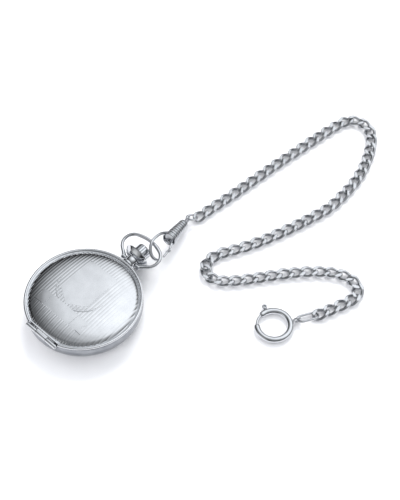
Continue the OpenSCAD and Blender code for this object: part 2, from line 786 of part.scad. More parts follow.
module third_wheel() {
    color(gilt) translate([third_p.x, third_p.y, 0]) {
        gear(third_pinion_n, third_m, layer_1 - 0.1, 0.4,
            mesh(third_phi, third_phi, centre_n, third_pinion_n));
        spoked_wheel(third_n, fourth_m, layer_2, fourth_phi, 0.45);
        arbor(0.2, layer_1 - 0.15, web_lo);
        arbor(0.12, bridge_lo + 0.05, plate_hi - 0.05);
    }
}

module fourth_wheel() {
    color(gilt) translate([fourth_p.x, fourth_p.y, 0]) {
        gear(fourth_pinion_n, fourth_m, layer_2 - 0.05, 0.3,
            mesh(fourth_phi, fourth_phi, third_n, fourth_pinion_n));
        spoked_wheel(fourth_n, escape_m, layer_3, escape_a, 0.5);
        arbor(0.2, layer_1 - 0.15, web_lo);
        arbor(0.12, bridge_lo + 0.05, layer_1);
        arbor(0.18, web_lo - eps, dial_z + dial_t + 0.3);
    }
}

module escape_wheel() {
    color(steel) translate([escape_p.x, escape_p.y, 0]) {
        gear(escape_pinion_n, escape_m, layer_3 - 0.05, 0.3,
            mesh(escape_a, escape_a, fourth_n, escape_pinion_n));
        translate([0, 0, layer_2]) linear_extrude(0.15) {
            difference() {
                circle(1.75);
                circle(1.3);
            }
            circle(0.45);
            for (i = [0 : 3]) rotate(i * 90) translate([0, -0.12]) square([1.5, 0.24]);
            for (i = [0 : escape_n - 1]) rotate(i * 360 / escape_n)
                polygon([[1.65, -0.22], [escape_r, 0.16], [escape_r, 0.3], [1.65, 0.12]]);
        }
        arbor(0.2, layer_1 - 0.15, web_lo);
        arbor(0.12, bridge_lo + 0.05, plate_hi - 0.05);
    }
}

module pallet_fork() {
    color(steel) translate([pallet_p.x, pallet_p.y, 0]) {
        translate([0, 0, layer_2]) linear_extrude(0.15) {
            circle(0.4);
            rotate(lever_a) translate([0, -0.14]) square([2.1, 0.28]);
            for (s = [-1, 1]) rotate(lever_a) polygon([[2, s * 0.1], [2.55, s * 0.15],
                [2.55, s * 0.35], [2, s * 0.3]]);
            rotate(lever_a) translate([2, -0.2]) square([0.15, 0.4]);
            for (s = [-1, 1]) rotate(lever_a + 180 + s * 66) translate([0, -0.15]) square([1.9, 0.3]);
            for (s = [-1, 1]) rotate(lever_a + 180 + s * 66) translate([1.6, -0.15])
                rotate(-s * 60) square([0.55, 0.28], center = true);
        }
        arbor(0.14, layer_2 - 0.55, web_lo);
        arbor(0.12, web_lo - eps, plate_hi - 0.05);
    }
}

module balance_wheel() {
    z = stem_z - 1.88;
    color(gilt) translate([balance_p.x, balance_p.y, 0]) {
        difference() {
            arbor(balance_r, z, z + 0.38);
            arbor(balance_r - 0.45, 0, 20);
        }
        translate([0, 0, z]) linear_extrude(0.2) {
            circle(0.8);
            for (i = [0 : 2]) rotate(i * 120) translate([0, -0.2]) square([balance_r - 0.2, 0.4]);
        }
        for (i = [0 : 11]) rotate(i * 30 + 15) translate([balance_r - 0.05, 0, z + 0.19])
            rotate([0, 90, 0]) cylinder(r = 0.18, h = 0.35, $fn = 16);
        arbor(0.3, z - 0.5, layer_2 + 0.1);
        arbor(0.8, layer_2 + 0.22, layer_2 + 0.42);
        arbor(0.2, layer_2, web_lo);
        arbor(0.12, cock_lo + 0.05, plate_hi - 0.05);
        rotate(lever_a + 180) translate([0.62, 0, 0]) arbor(0.07, layer_2, layer_2 + 0.25);
    }
}

module hairspring() {
    color("steelblue") translate([balance_p.x, balance_p.y, stem_z - 2.12]) {
        half_turns(0.9, 0.24, 7, 0.06, 0.15);
        difference() {
            cylinder(r = 0.97, h = 0.15);
            translate([0, 0, -1]) cylinder(r = 0.3, h = 3);
        }
    }
}

// ---------- motion work, dial and hands ----------

module cannon_pinion() {
    color(steel) difference() {
        union() {
            gear(cannon_n, motion_m, plate_hi + 0.1, 0.35, minute_a);
            arbor(0.62, plate_hi + 0.1, dial_z + dial_t + 1);
        }
        arbor(0.36, 0, dial_z + 0.8);
    }
}

minute_phase = mesh(minute_a, minute_a, cannon_n, minute_n);

module minute_wheel() {
    color(gilt) translate([minute_p.x, minute_p.y, 0]) difference() {
        union() {
            gear(minute_n, motion_m, plate_hi + 0.15, 0.25, minute_phase);
            gear(minute_pinion_n, hour_m, plate_hi + 0.39, 0.4, minute_a + 180);
        }
        arbor(0.36, 0, 20);
    }
}

module hour_wheel() {
    color(gilt) difference() {
        union() {
            gear(hour_n, hour_m, plate_hi + 0.55, 0.2,
                mesh(minute_a + 180, minute_a + 180, minute_pinion_n, hour_n));
            arbor(1, plate_hi + 0.55, dial_z + dial_t + 0.55);
        }
        arbor(0.7, 0, 20);
    }
}

module setting_wheel() {
    color(steel) translate([setting_p.x, setting_p.y, 0]) difference() {
        gear(setting_n, motion_m, plate_hi + 0.15, 0.25,
            mesh(108.8, minute_phase, minute_n, setting_n));
        arbor(0.36, 0, 20);
    }
}

module dial() {
    color("white") translate([0, 0, dial_z]) difference() {
        cylinder(r = 18.3, h = dial_t, $fn = 96);
        translate([0, 0, -1]) cylinder(r = 1.15, h = 3);
        translate([fourth_p.x, fourth_p.y, -1]) cylinder(r = 0.3, h = 3);
        translate([fourth_p.x, fourth_p.y, dial_t - 0.08]) cylinder(r = 3.9, h = 1);
    }
}

// Leaf-shaped hand pointing along +Y
module hand(l, w, boss_r, bore_r, t) {
    half = min(0.22, boss_r / 3);
    root = (boss_r + bore_r) / 2;
    difference() {
        cylinder(r = boss_r, h = t);
        translate([0, 0, -1]) cylinder(r = bore_r, h = 3);
    }
    linear_extrude(t) polygon([[-half, root], [-half, root + l * 0.2], [-w, l * 0.55], [-0.1, l],
        [0.1, l], [w, l * 0.55], [half, root + l * 0.2], [half, root]]);
}

module hour_hand() {
    color("midnightblue") translate([0, 0, dial_z + dial_t + 0.38]) rotate(60)
        hand(9.2, 0.85, 1.6, 1, 0.16);
}

module minute_hand() {
    color("midnightblue") translate([0, 0, dial_z + dial_t + 0.78]) rotate(-60)
        hand(14.2, 0.65, 1.2, 0.62, 0.16);
}

module seconds_hand() {
    color("midnightblue") translate([fourth_p.x, fourth_p.y, dial_z + dial_t + 0.12])
        hand(3.3, 0.14, 0.5, 0.18, 0.1);
}

// ---------- swivel clip ----------

// Puts +Z along the clip's axis, from the wide end of the barrel to the eye
module on_clip_axis() {
    translate(clip_wide) rotate([0, acos(clip_u.z), atan2(clip_u.y, clip_u.x)]) children();
}

rib_count = 8;
wide_r = 3.1;
narrow_r = 2;

module clip_barrel() {
    rib = (clip_len - 1.6) / rib_count;
    function flare(z) = wide_r + (narrow_r - wide_r) * z / clip_len;
    ribs = [for (i = [0 : rib_count - 1], k = [0 : 2]) let (z = 0.8 + rib * (i + [0, 0.5, 0.95][k]))
        [flare(z) - (k == 1 ? 0 : 0.35), z]];
    color(steel) on_clip_axis() difference() {
        rotate_extrude() polygon(concat([[0, 0], [wide_r - 0.3, 0], [wide_r, 0.3], [wide_r, 0.7]],
            ribs, [[narrow_r, clip_len - 0.7], [narrow_r - 0.3, clip_len], [0, clip_len]]));
        translate([0, 0, clip_len - 5]) cylinder(r = 1.45, h = 3);
        translate([0, 0, clip_len - 4]) cylinder(r = 0.85, h = 5);
    }
}

module clip_hook() {
    color(steel) {
        wire(hook_pts, hook_wire_r);
        wire(concat([hook_pts[0]], arm_pts), hook_wire_r);
        for (s = [-1, 1]) {
            wire([arm_pts[1] + s * 0.65 * gate_axis, gate_pivot + s * 0.82 * gate_axis], 0.2);
            on_gate_axis() translate([0, 0, s * 0.82]) cylinder(r = 0.6, h = 0.3, center = true);
        }
    }
}

module on_gate_axis() {
    translate(gate_pivot) rotate([0, acos(gate_axis.z), atan2(gate_axis.y, gate_axis.x)]) children();
}

module clip_gate() {
    color(steel) difference() {
        union() {
            on_gate_axis() cylinder(r = 0.65, h = 0.7, center = true);
            rod(gate_pivot + [0.04, -0.4, 0], gate_tip, 0.5);
            translate(gate_tip) sphere(0.53);
        }
        on_gate_axis() cylinder(r = 0.3, h = 4, center = true);
    }
}

module clip_gate_pin() {
    color(dark_steel) on_gate_axis() cylinder(r = 0.25, h = 1.6, center = true);
}

eye_reach = 2.8;

module clip_eye() {
    color(steel) on_clip_axis() {
        translate([0, 0, clip_len - 4.7]) cylinder(r = 1.35, h = 0.5);
        translate([0, 0, clip_len - 4.3]) cylinder(r = 0.78, h = eye_reach + 3);
        translate([0, 0, clip_len + eye_reach]) rotate([90, 0, 0]) rotate_extrude()
            translate([1.5, 0]) circle(0.5, $fn = 24);
    }
}

// ---------- chain and spring ring ----------

// Smooth route: a Catmull-Rom curve through the chosen points
steps = 12;
function at(i) = route[max(0, min(len(route) - 1, i))];
function blend(i, t) = 0.5 * (2 * at(i) + (at(i + 1) - at(i - 1)) * t
    + (2 * at(i - 1) - 5 * at(i) + 4 * at(i + 1) - at(i + 2)) * t * t
    + (3 * at(i) - at(i - 1) - 3 * at(i + 1) + at(i + 2)) * t * t * t);
curve = [for (i = [0 : len(route) - 2], k = [0 : steps - 1]) blend(i, k / steps)];
function lengths(i, sum, out) = i >= len(curve) ? out
    : lengths(i + 1, sum + norm(curve[i] - curve[i - 1]),
        concat(out, [sum + norm(curve[i] - curve[i - 1])]));
travel = lengths(1, 0, [0]);
function along(s) = let (t = max(0, min(travel[len(travel) - 1] - eps, s)),
    i = max([for (k = [0 : len(travel) - 2]) if (travel[k] <= t) k]),
    f = (t - travel[i]) / (travel[i + 1] - travel[i]))
    curve[i] + (curve[i + 1] - curve[i]) * f;
link_slack = 0.3;
chain_start = 0.9;
chain_len = travel[len(travel) - 1] - chain_start;
link_count = round(chain_len / link_pitch);
link_step = chain_len / link_count;

module link() {
    bend = link_w / 2 - link_wire_r;
    oval_ring(link_step + 2 * (link_slack + link_wire_r - bend), bend, link_wire_r);
}

module chain_links() {
    color(steel) for (i = [0 : link_count - 1]) {
        a = along(chain_start + i * link_step);
        b = along(chain_start + (i + 1) * link_step);
        p = (a + b) / 2;
        d = b - a;
        translate([p.x, p.y, chain_z]) rotate(atan2(d.y, d.x)) rotate([i % 2 == 0 ? 45 : -45, 0, 0])
            link();
    }
}

// Round ring on the clip's eye and oval ring on the spring ring's eye
module chain_rings() {
    color(steel) {
        translate([0.9, 63, 2.55]) rotate([-20, -17, 0]) rotate_extrude()
            translate([2.3, 0]) circle(0.45, $fn = 16);
        translate([69.35, 57.95, chain_z]) rotate([0, 0, 59]) rotate([-22, 0, 0])
            oval_ring(4.6, 2, 0.5);
    }
}

module oval_ring(straight, bend, wire_r) {
    for (s = [0, 180]) rotate(s) {
        translate([straight / 2, 0, 0]) rotate(-90) rotate_extrude(angle = 180)
            translate([bend, 0]) circle(wire_r, $fn = 16);
        translate([-straight / 2, bend, 0]) rotate([0, 90, 0])
            cylinder(r = wire_r, h = straight, $fn = 16);
    }
}

module ring_arc(r0, r1, a0, a1) {
    rotate(a0) rotate_extrude(angle = a1 - a0) translate([ring_r, 0]) difference() {
        circle(r1);
        if (r0 > 0) circle(r0);
    }
}

module spring_ring() {
    color(steel) {
        translate([ring_p.x, ring_p.y, ring_z]) difference() {
            union() {
                ring_arc(ring_bore_r, ring_tube_r, solid_a1 - 1, gap_a0);
                ring_arc(ring_bore_r, ring_tube_r, gap_a1, solid_a0 + 1);
                ring_arc(0, ring_tube_r, solid_a0 - 360, solid_a1);
            }
            ring_sector(ring_r, ring_r + 2, trigger_a - bolt_travel - 4, trigger_a + 4, -0.42, 0.42);
        }
        translate([ring_p.x, ring_p.y, 0]) rotate(eye_a) {
            translate([eye_r, 0, chain_z]) rotate([90, 0, 0]) rotate_extrude()
                translate([eye_major, 0]) circle(eye_wire_r, $fn = 16);
            translate([ring_r, 0, ring_z]) rotate([0, 90, 0])
                cylinder(r = 0.6, h = eye_r - eye_major - ring_r);
        }
    }
}

module ring_bolt() {
    color(dark_steel) translate([ring_p.x, ring_p.y, ring_z]) {
        ring_arc(0, bolt_r, 146, gap_a1 + 6);
        rotate(trigger_a) {
            translate([ring_r, 0, 0]) rotate([0, 90, 0]) cylinder(r = 0.32, h = 2, $fn = 24);
            translate([ring_r + 2.1, 0, 0]) sphere(0.95);
        }
    }
}

case_middle();
back_cover();
front_cover();
crystal_bezel();
crystal();
case_hinge_tubes();
lid_hinge_tube();
hinge_pin();
lift_spring();
lock_spring();
case_screws();
pendant();
bow();
bow_screws();
crown();
push_sleeve();
winding_stem();
winding_pinion();
clutch_wheel();
crown_wheel();
ratchet_wheel();
ratchet_screw();
click();
click_spring();
mainplate();
barrel_bridge();
train_bridge();
balance_cock();
pallet_bridge();
movement_screws();
jewels();
barrel();
barrel_cover();
barrel_arbor();
mainspring();
centre_wheel();
third_wheel();
fourth_wheel();
escape_wheel();
pallet_fork();
balance_wheel();
hairspring();
cannon_pinion();
minute_wheel();
hour_wheel();
setting_wheel();
dial();
hour_hand();
minute_hand();
seconds_hand();
clip_barrel();
clip_hook();
clip_gate();
clip_gate_pin();
clip_eye();
chain_links();
chain_rings();
spring_ring();
ring_bolt();
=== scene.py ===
# Hunter pocket watch with chain: the looks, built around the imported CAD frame.
# Lengths are in millimetres until a mesh is made; MM turns them into metres.
import math
import random

import bmesh
import bpy
import numpy as np
from mathutils import Matrix, Vector


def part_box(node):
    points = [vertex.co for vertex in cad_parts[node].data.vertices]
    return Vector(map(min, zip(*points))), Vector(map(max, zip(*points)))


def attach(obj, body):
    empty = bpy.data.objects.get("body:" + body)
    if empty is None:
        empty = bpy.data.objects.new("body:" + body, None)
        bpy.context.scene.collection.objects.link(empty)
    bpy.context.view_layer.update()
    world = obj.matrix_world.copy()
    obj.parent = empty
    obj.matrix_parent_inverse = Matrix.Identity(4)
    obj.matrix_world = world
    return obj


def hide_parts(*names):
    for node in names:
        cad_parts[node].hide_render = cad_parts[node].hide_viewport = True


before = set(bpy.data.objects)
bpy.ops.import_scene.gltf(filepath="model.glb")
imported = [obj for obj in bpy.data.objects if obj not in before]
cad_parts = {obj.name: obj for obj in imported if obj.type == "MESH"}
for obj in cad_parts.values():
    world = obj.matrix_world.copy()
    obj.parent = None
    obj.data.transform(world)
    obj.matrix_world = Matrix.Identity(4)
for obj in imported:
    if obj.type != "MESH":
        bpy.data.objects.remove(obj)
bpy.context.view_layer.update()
MM = 0.001
random.seed(7)


# ---------- camera ----------

CAMERA_AZIMUTH = 42.4
CAMERA_ELEVATION = 55.0
CAMERA_DISTANCE = 475.2
CAMERA_TARGET = (13.85, 54.1, 0.0)


def make_camera():
    azimuth = math.radians(CAMERA_AZIMUTH)
    elevation = math.radians(CAMERA_ELEVATION)
    back = Vector((
        math.sin(azimuth) * math.cos(elevation),
        -math.cos(azimuth) * math.cos(elevation),
        math.sin(elevation),
    ))
    camera = bpy.data.objects.new("camera", bpy.data.cameras.new("camera"))
    bpy.context.scene.collection.objects.link(camera)
    camera.location = (Vector(CAMERA_TARGET) + back * CAMERA_DISTANCE) * MM
    camera.rotation_euler = (-back).to_track_quat("-Z", "Y").to_euler()
    camera.data.lens = 80.73
    camera.data.sensor_width = 36
    camera.data.clip_start = 0.01
    bpy.context.scene.camera = camera


make_camera()


# ---------- mesh helpers ----------


def finish_mesh(obj, material, body, nodes=(), sharp=35):
    """Smooth shading with sharp edges, a material, and the body that the piece rides on."""
    mesh = obj.data
    mesh.polygons.foreach_set("use_smooth", [True] * len(mesh.polygons))
    mesh.set_sharp_from_angle(angle=math.radians(sharp))
    mesh.materials.clear()
    mesh.materials.append(material)
    if nodes:
        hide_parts(*nodes)
    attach(obj, body)
    return obj


def mesh_object(name, verts, faces):
    """verts is an array of points in millimetres."""
    mesh = bpy.data.meshes.new(name)
    mesh.from_pydata((np.asarray(verts, float) * MM).tolist(), [], [list(f) for f in faces])
    mesh.validate()
    mesh.update()
    obj = bpy.data.objects.new(name, mesh)
    bpy.context.scene.collection.objects.link(obj)
    return obj


def joined(parts):
    """Several (verts, faces) as one."""
    verts = []
    faces = []
    for part_verts, part_faces in parts:
        start = len(verts)
        verts.extend(np.asarray(part_verts, float).tolist())
        faces.extend([tuple(start + i for i in face) for face in part_faces])
    return np.array(verts), faces


def moved(part, matrix):
    verts, faces = part
    matrix = np.array(matrix)
    return np.asarray(verts) @ matrix[:3, :3].T + matrix[:3, 3], faces


def grid_faces(rows, columns, close_rows=False, close_columns=False):
    faces = []
    for i in range(rows if close_rows else rows - 1):
        for j in range(columns if close_columns else columns - 1):
            a = i * columns + j
            b = i * columns + (j + 1) % columns
            c = (i + 1) % rows * columns + (j + 1) % columns
            d = (i + 1) % rows * columns + j
            faces.append((a, b, c, d))
    return faces


def rounded(points, radius, closed=True, steps=4):
    """An outline of (r, z) points with its corners rounded."""
    points = [np.array(p, float) for p in points]
    count = len(points)
    result = []
    for i, corner in enumerate(points):
        if not closed and i in (0, count - 1):
            result.append(corner)
            continue
        before = points[i - 1] - corner
        after = points[(i + 1) % count] - corner
        reach = min(radius, 0.45 * np.linalg.norm(before), 0.45 * np.linalg.norm(after))
        start = corner + before / np.linalg.norm(before) * reach
        end = corner + after / np.linalg.norm(after) * reach
        for k in range(steps + 1):
            t = k / steps
            result.append((1 - t) ** 2 * start + 2 * t * (1 - t) * corner + t * t * end)
    return [tuple(p) for p in result]


def turned(outline, segments=144, closed=True):
    """A solid of revolution about Z from (r, z) points."""
    outline = [(max(r, 0.001), z) for r, z in outline]
    angles = [2 * math.pi * k / segments for k in range(segments)]
    verts = [(r * math.cos(a), r * math.sin(a), z) for r, z in outline for a in angles]
    rows = len(outline)
    faces = grid_faces(rows, segments, close_rows=closed, close_columns=True)
    return np.array(verts), faces


def frames_along(points, closed, up=None):
    """Tangent and two cross directions at each point, without twist."""
    points = np.asarray(points, float)
    if closed:
        tangents = np.roll(points, -1, 0) - np.roll(points, 1, 0)
    else:
        tangents = np.gradient(points, axis=0)
    tangents /= np.linalg.norm(tangents, axis=1)[:, None]
    start = np.array(up if up is not None else (0.0, 0.0, 1.0), float)
    if abs(start @ tangents[0]) > 0.9:
        start = np.array((1.0, 0.0, 0.0))
    sides = []
    side = start
    for tangent in tangents:
        side = side - tangent * (side @ tangent)
        side /= np.linalg.norm(side)
        sides.append(side)
    sides = np.array(sides)
    return tangents, sides, np.cross(tangents, sides)


def swept(points, radius, sides=16, closed=False, flatten=1.0, up=None):
    """A round or oval wire along points; radius is one number or one for each point."""
    points = np.asarray(points, float)
    _, u, v = frames_along(points, closed, up)
    radius = np.broadcast_to(np.asarray(radius, float), (len(points),))
    angles = np.linspace(0, 2 * math.pi, sides, endpoint=False)
    across = np.cos(angles)[None, :, None] * u[:, None, :] * flatten
    ring = across + np.sin(angles)[None, :, None] * v[:, None, :]
    verts = (points[:, None, :] + radius[:, None, None] * ring).reshape(-1, 3)
    faces = grid_faces(len(points), sides, close_rows=closed, close_columns=True)
    if not closed:
        last = (len(points) - 1) * sides
        faces.append(tuple(reversed(range(sides))))
        faces.append(tuple(range(last, last + sides)))
    return verts, faces


def smooth_curve(points, steps=12, closed=False):
    """Catmull-Rom curve through points."""
    points = np.asarray(points, float)
    count = len(points)
    result = []
    for i in range(count if closed else count - 1):
        if closed:
            p = [points[(i + k) % count] for k in (-1, 0, 1, 2)]
        else:
            p = [points[min(max(i + k, 0), count - 1)] for k in (-1, 0, 1, 2)]
        for k in range(steps):
            t = k / steps
            result.append(0.5 * (
                2 * p[1] + (p[2] - p[0]) * t
                + (2 * p[0] - 5 * p[1] + 4 * p[2] - p[3]) * t * t
                + (3 * p[1] - p[0] - 3 * p[2] + p[3]) * t ** 3
            ))
    if not closed:
        result.append(points[-1])
    return np.array(result)


class Path:
    """A curve that can be asked for the point at a distance along it."""

    def __init__(self, points):
        self.points = np.asarray(points, float)
        steps = np.linalg.norm(np.diff(self.points, axis=0), axis=1)
        self.travel = np.concatenate([[0], np.cumsum(steps)])
        self.length = float(self.travel[-1])

    def at(self, distance):
        return np.array([
            np.interp(distance, self.travel, self.points[:, k]) for k in range(self.points.shape[1])
        ])


# ---------- materials ----------


class Material:
    """A Principled material built from nodes; constants go straight on the shader's sockets."""

    def __init__(self, name):
        self.material = bpy.data.materials.new(name)
        self.material.use_nodes = True
        self.nodes = self.material.node_tree.nodes
        self.links = self.material.node_tree.links
        self.shader = self.nodes["Principled BSDF"]
        self.place = self.nodes.new("ShaderNodeTexCoord").outputs["Object"]

    def set(self, **values):
        for key, value in values.items():
            self.shader.inputs[key.replace("_", " ")].default_value = value
        return self

    def noise(self, scale, detail=3.0, stretch=(1, 1, 1), roughness=0.5):
        mapping = self.nodes.new("ShaderNodeMapping")
        mapping.inputs["Scale"].default_value = stretch
        self.links.new(self.place, mapping.inputs["Vector"])
        noise = self.nodes.new("ShaderNodeTexNoise")
        noise.inputs["Scale"].default_value = scale
        noise.inputs["Detail"].default_value = detail
        noise.inputs["Roughness"].default_value = roughness
        self.links.new(mapping.outputs["Vector"], noise.inputs["Vector"])
        return noise.outputs["Fac"]

    def ramp(self, source, stops):
        """stops is a list of (position, colour or grey)."""
        ramp = self.nodes.new("ShaderNodeValToRGB")
        while len(ramp.color_ramp.elements) < len(stops):
            ramp.color_ramp.elements.new(0.5)
        for element, (position, colour) in zip(ramp.color_ramp.elements, stops):
            element.position = position
            if isinstance(colour, (int, float)):
                colour = (colour, colour, colour)
            element.color = (*colour, 1)
        self.links.new(source, ramp.inputs["Fac"])
        return ramp.outputs["Color"]

    def link(self, output, socket):
        self.links.new(output, self.shader.inputs[socket])
        return self

    def bump(self, height, distance, strength=1.0):
        """distance is in millimetres."""
        bump = self.nodes.new("ShaderNodeBump")
        bump.inputs["Distance"].default_value = distance * MM
        bump.inputs["Strength"].default_value = strength
        self.links.new(height, bump.inputs["Height"])
        self.links.new(bump.outputs["Normal"], self.shader.inputs["Normal"])
        return self


def metal(name, low, high, rough_low, rough_high, grain=(1, 1, 1), grain_depth=0.0006, scale=900):
    """Metal with cloudy colour, uneven polish and fine wear marks along grain."""
    made = Material(name).set(Metallic=1.0)
    cloud = made.noise(260, 4)
    made.link(made.ramp(cloud, [(0.3, low), (0.7, high)]), "Base Color")
    wear = made.noise(scale, 5, grain, 0.6)
    made.link(made.ramp(wear, [(0.35, rough_low), (0.75, rough_high)]), "Roughness")
    fine = made.noise(scale * 2.2, 2, grain)
    made.bump(fine, grain_depth)
    return made.material


POLISHED = metal("polished_steel", (0.60, 0.61, 0.63), (0.67, 0.68, 0.70), 0.035, 0.075)
# Darker copy of the polished case steel for the band: painted shade, standing in for the darker look the
# band takes from the shaded floor it reflects.
SHADED_BAND_STEEL = metal("shaded_band_steel", (0.25, 0.26, 0.28), (0.33, 0.34, 0.36), 0.05, 0.10)
ENGRAVED = metal("engraved_steel", (0.64, 0.65, 0.67), (0.71, 0.72, 0.74), 0.07, 0.13, (1, 0.08, 1))
KNURLED = metal("knurled_steel", (0.58, 0.59, 0.61), (0.66, 0.67, 0.69), 0.06, 0.12)
RIBBED = metal("ribbed_steel", (0.50, 0.51, 0.53), (0.58, 0.59, 0.61), 0.08, 0.14)
CHAIN = metal("chain_steel", (0.54, 0.55, 0.57), (0.64, 0.65, 0.67), 0.05, 0.10)
RING = metal("ring_steel", (0.60, 0.61, 0.63), (0.67, 0.68, 0.70), 0.03, 0.07)
SPRING = metal("spring_steel", (0.34, 0.35, 0.37), (0.46, 0.47, 0.49), 0.16, 0.28, (1, 0.2, 1))
WHEELS = metal("wheel_steel", (0.62, 0.63, 0.65), (0.72, 0.73, 0.75), 0.14, 0.24)
BLUED = metal("blued_steel", (0.02, 0.035, 0.16), (0.035, 0.06, 0.26), 0.12, 0.2)
GILT = metal("gilt_plate", (0.78, 0.56, 0.25), (0.86, 0.66, 0.33), 0.24, 0.36, scale=500, grain_depth=0.004)
BRASS = metal("brass", (0.74, 0.52, 0.20), (0.84, 0.62, 0.28), 0.16, 0.28)


def enamel():
    made = Material("enamel").set(Roughness=0.12, Coat_Weight=0.5, Coat_Roughness=0.04)
    creams = [(0.3, (0.80, 0.79, 0.75)), (0.7, (0.88, 0.87, 0.84))]
    made.link(made.ramp(made.noise(180, 3), creams), "Base Color")
    made.bump(made.noise(320, 2), 0.004)
    return made.material


def ink():
    made = Material("dial_ink").set(Roughness=0.35)
    made.link(made.ramp(made.noise(700, 3), [(0.3, 0.008), (0.8, 0.022)]), "Base Color")
    return made.material


def ruby():
    made = Material("ruby").set(Roughness=0.06, IOR=1.76, Transmission_Weight=0.5)
    reds = [(0.3, (0.55, 0.01, 0.05)), (0.7, (0.75, 0.03, 0.10))]
    made.link(made.ramp(made.noise(1500, 2), reds), "Base Color")
    return made.material


def acrylic():
    made = Material("acrylic").set(IOR=1.49, Transmission_Weight=1.0)
    tints = [(0.3, (0.975, 0.985, 0.985)), (0.7, (0.995, 0.998, 0.998))]
    made.link(made.ramp(made.noise(120, 2), tints), "Base Color")
    made.link(made.ramp(made.noise(600, 4), [(0.5, 0.004), (0.8, 0.02)]), "Roughness")
    return made.material


ENAMEL = enamel()
INK = ink()
RUBY = ruby()
ACRYLIC = acrylic()


# ---------- chain ----------

CHAIN_ROUTE = [
    (2.2, 63.5), (3.5, 73), (5, 83), (6.2, 93), (7.4, 103), (8.7, 113), (10.2, 123), (11.6, 133),
    (13.2, 143), (15, 151), (18.2, 155), (23, 156), (28, 154), (32, 149), (35, 143.5), (38, 136),
    (40.2, 127), (41, 117), (41, 108), (38.6, 98), (35, 86), (30.6, 74), (26.2, 64.5), (22.6, 58.6),
    (20.8, 53), (21.6, 48.4), (25.4, 45.6), (30.2, 46.4), (34.4, 49.8), (40, 56.5), (48, 67),
    (55, 75), (62, 81.2), (67.6, 84), (73, 84.6), (77, 82), (77.8, 77.6), (76, 72.6), (71.2, 60.6),
]
CHAIN_START = 0.9
LINK_PITCH = 5.05
LINK_HALF_LENGTH = 3.3
LINK_HALF_WIDTH = 2.0
LINK_WIRE = 0.73
LINK_TWIST = -48
CHAIN_Z = 1.5
FACET_HEIGHT = 1.25


def link_line(count):
    """Twisted oval, so that neighbours pass through each other and the chain lies flat."""
    points = []
    for k in range(count):
        angle = 2 * math.pi * k / count
        c = math.cos(angle)
        s = math.sin(angle)
        x = LINK_HALF_LENGTH * math.copysign(abs(c) ** (2 / 2.4), c)
        w = LINK_HALF_WIDTH * math.copysign(abs(s) ** (2 / 2.4), s)
        roll = math.radians(LINK_TWIST) * x / LINK_HALF_LENGTH
        points.append((x, w * math.cos(roll), w * math.sin(roll)))
    return np.array(points)


def make_chain():
    route = Path(smooth_curve(CHAIN_ROUTE, 12))
    usable = route.length - CHAIN_START
    count = round(usable / LINK_PITCH)
    step = usable / count
    fine = link_line(720)
    even = Path(np.concatenate([fine, fine[:1]]))
    line = np.array([even.at(even.length * k / 60) for k in range(60)])
    wire = swept(line, LINK_WIRE, 14, closed=True)
    parts = []
    for i in range(count):
        a = route.at(CHAIN_START + i * step)
        b = route.at(CHAIN_START + (i + 1) * step)
        turn = math.atan2(b[1] - a[1], b[0] - a[0])
        roll = math.radians(random.uniform(-5, 5))
        middle = (a + b) / 2
        verts, faces = moved(wire, Matrix.Rotation(turn, 4, "Z") @ Matrix.Rotation(roll, 4, "X"))
        verts[:, 2] = np.clip(verts[:, 2], -FACET_HEIGHT, FACET_HEIGHT)
        parts.append((verts + (middle[0], middle[1], CHAIN_Z), faces))
    obj = mesh_object("curb_chain", *joined(parts))
    finish_mesh(obj, CHAIN, "root", ["chain_links"], 28)
    path = [(x * MM, y * MM, CHAIN_Z * MM) for x, y in route.points]
    return obj, path, route.length


def ring_line(centre, radius, normal, count=96):
    normal = Vector(normal).normalized()
    matrix = normal.to_track_quat("Z", "Y").to_matrix()
    angles = [2 * math.pi * k / count for k in range(count)]
    return np.array([
        Vector(centre) + matrix @ Vector((radius * math.cos(a), radius * math.sin(a), 0)) for a in angles
    ])


def oval_line(straight, bend, count=28):
    points = []
    for side in (1, -1):
        for k in range(count + 1):
            angle = -math.pi / 2 + math.pi * k / count
            points.append((side * (straight / 2 + bend * math.cos(angle)), side * bend * math.sin(angle), 0))
    return np.array(points)


def make_chain_rings():
    tilt = Matrix.Rotation(math.radians(-17), 3, "Y") @ Matrix.Rotation(math.radians(-20), 3, "X")
    round_ring = swept(ring_line((0.9, 63, 2.55), 2.3, tilt @ Vector((0, 0, 1))), 0.45, 20, closed=True)
    place = Matrix.Translation((69.35, 57.95, 1.9)) @ Matrix.Rotation(math.radians(59), 4, "Z")
    place = place @ Matrix.Rotation(math.radians(-22), 4, "X")
    oval_ring = moved(swept(oval_line(4.6, 2), 0.5, 20, closed=True), place)
    obj = mesh_object("jump_rings", *joined([round_ring, oval_ring]))
    return finish_mesh(obj, CHAIN, "root", ["chain_rings"])


RING_CENTRE = (61.5, 46.0)
RING_Z = 1.45
RING_RADIUS = 6.8
RING_TUBE = 1.35
RING_GAP = (180, 223)
RING_EYE_ANGLE = 56
RING_TRIGGER_ANGLE = 154


def ring_arc_line(degrees):
    """Points on the spring ring's centre line."""
    return np.array([
        (
            RING_CENTRE[0] + RING_RADIUS * math.cos(math.radians(a)),
            RING_CENTRE[1] + RING_RADIUS * math.sin(math.radians(a)),
            RING_Z,
        )
        for a in degrees
    ])


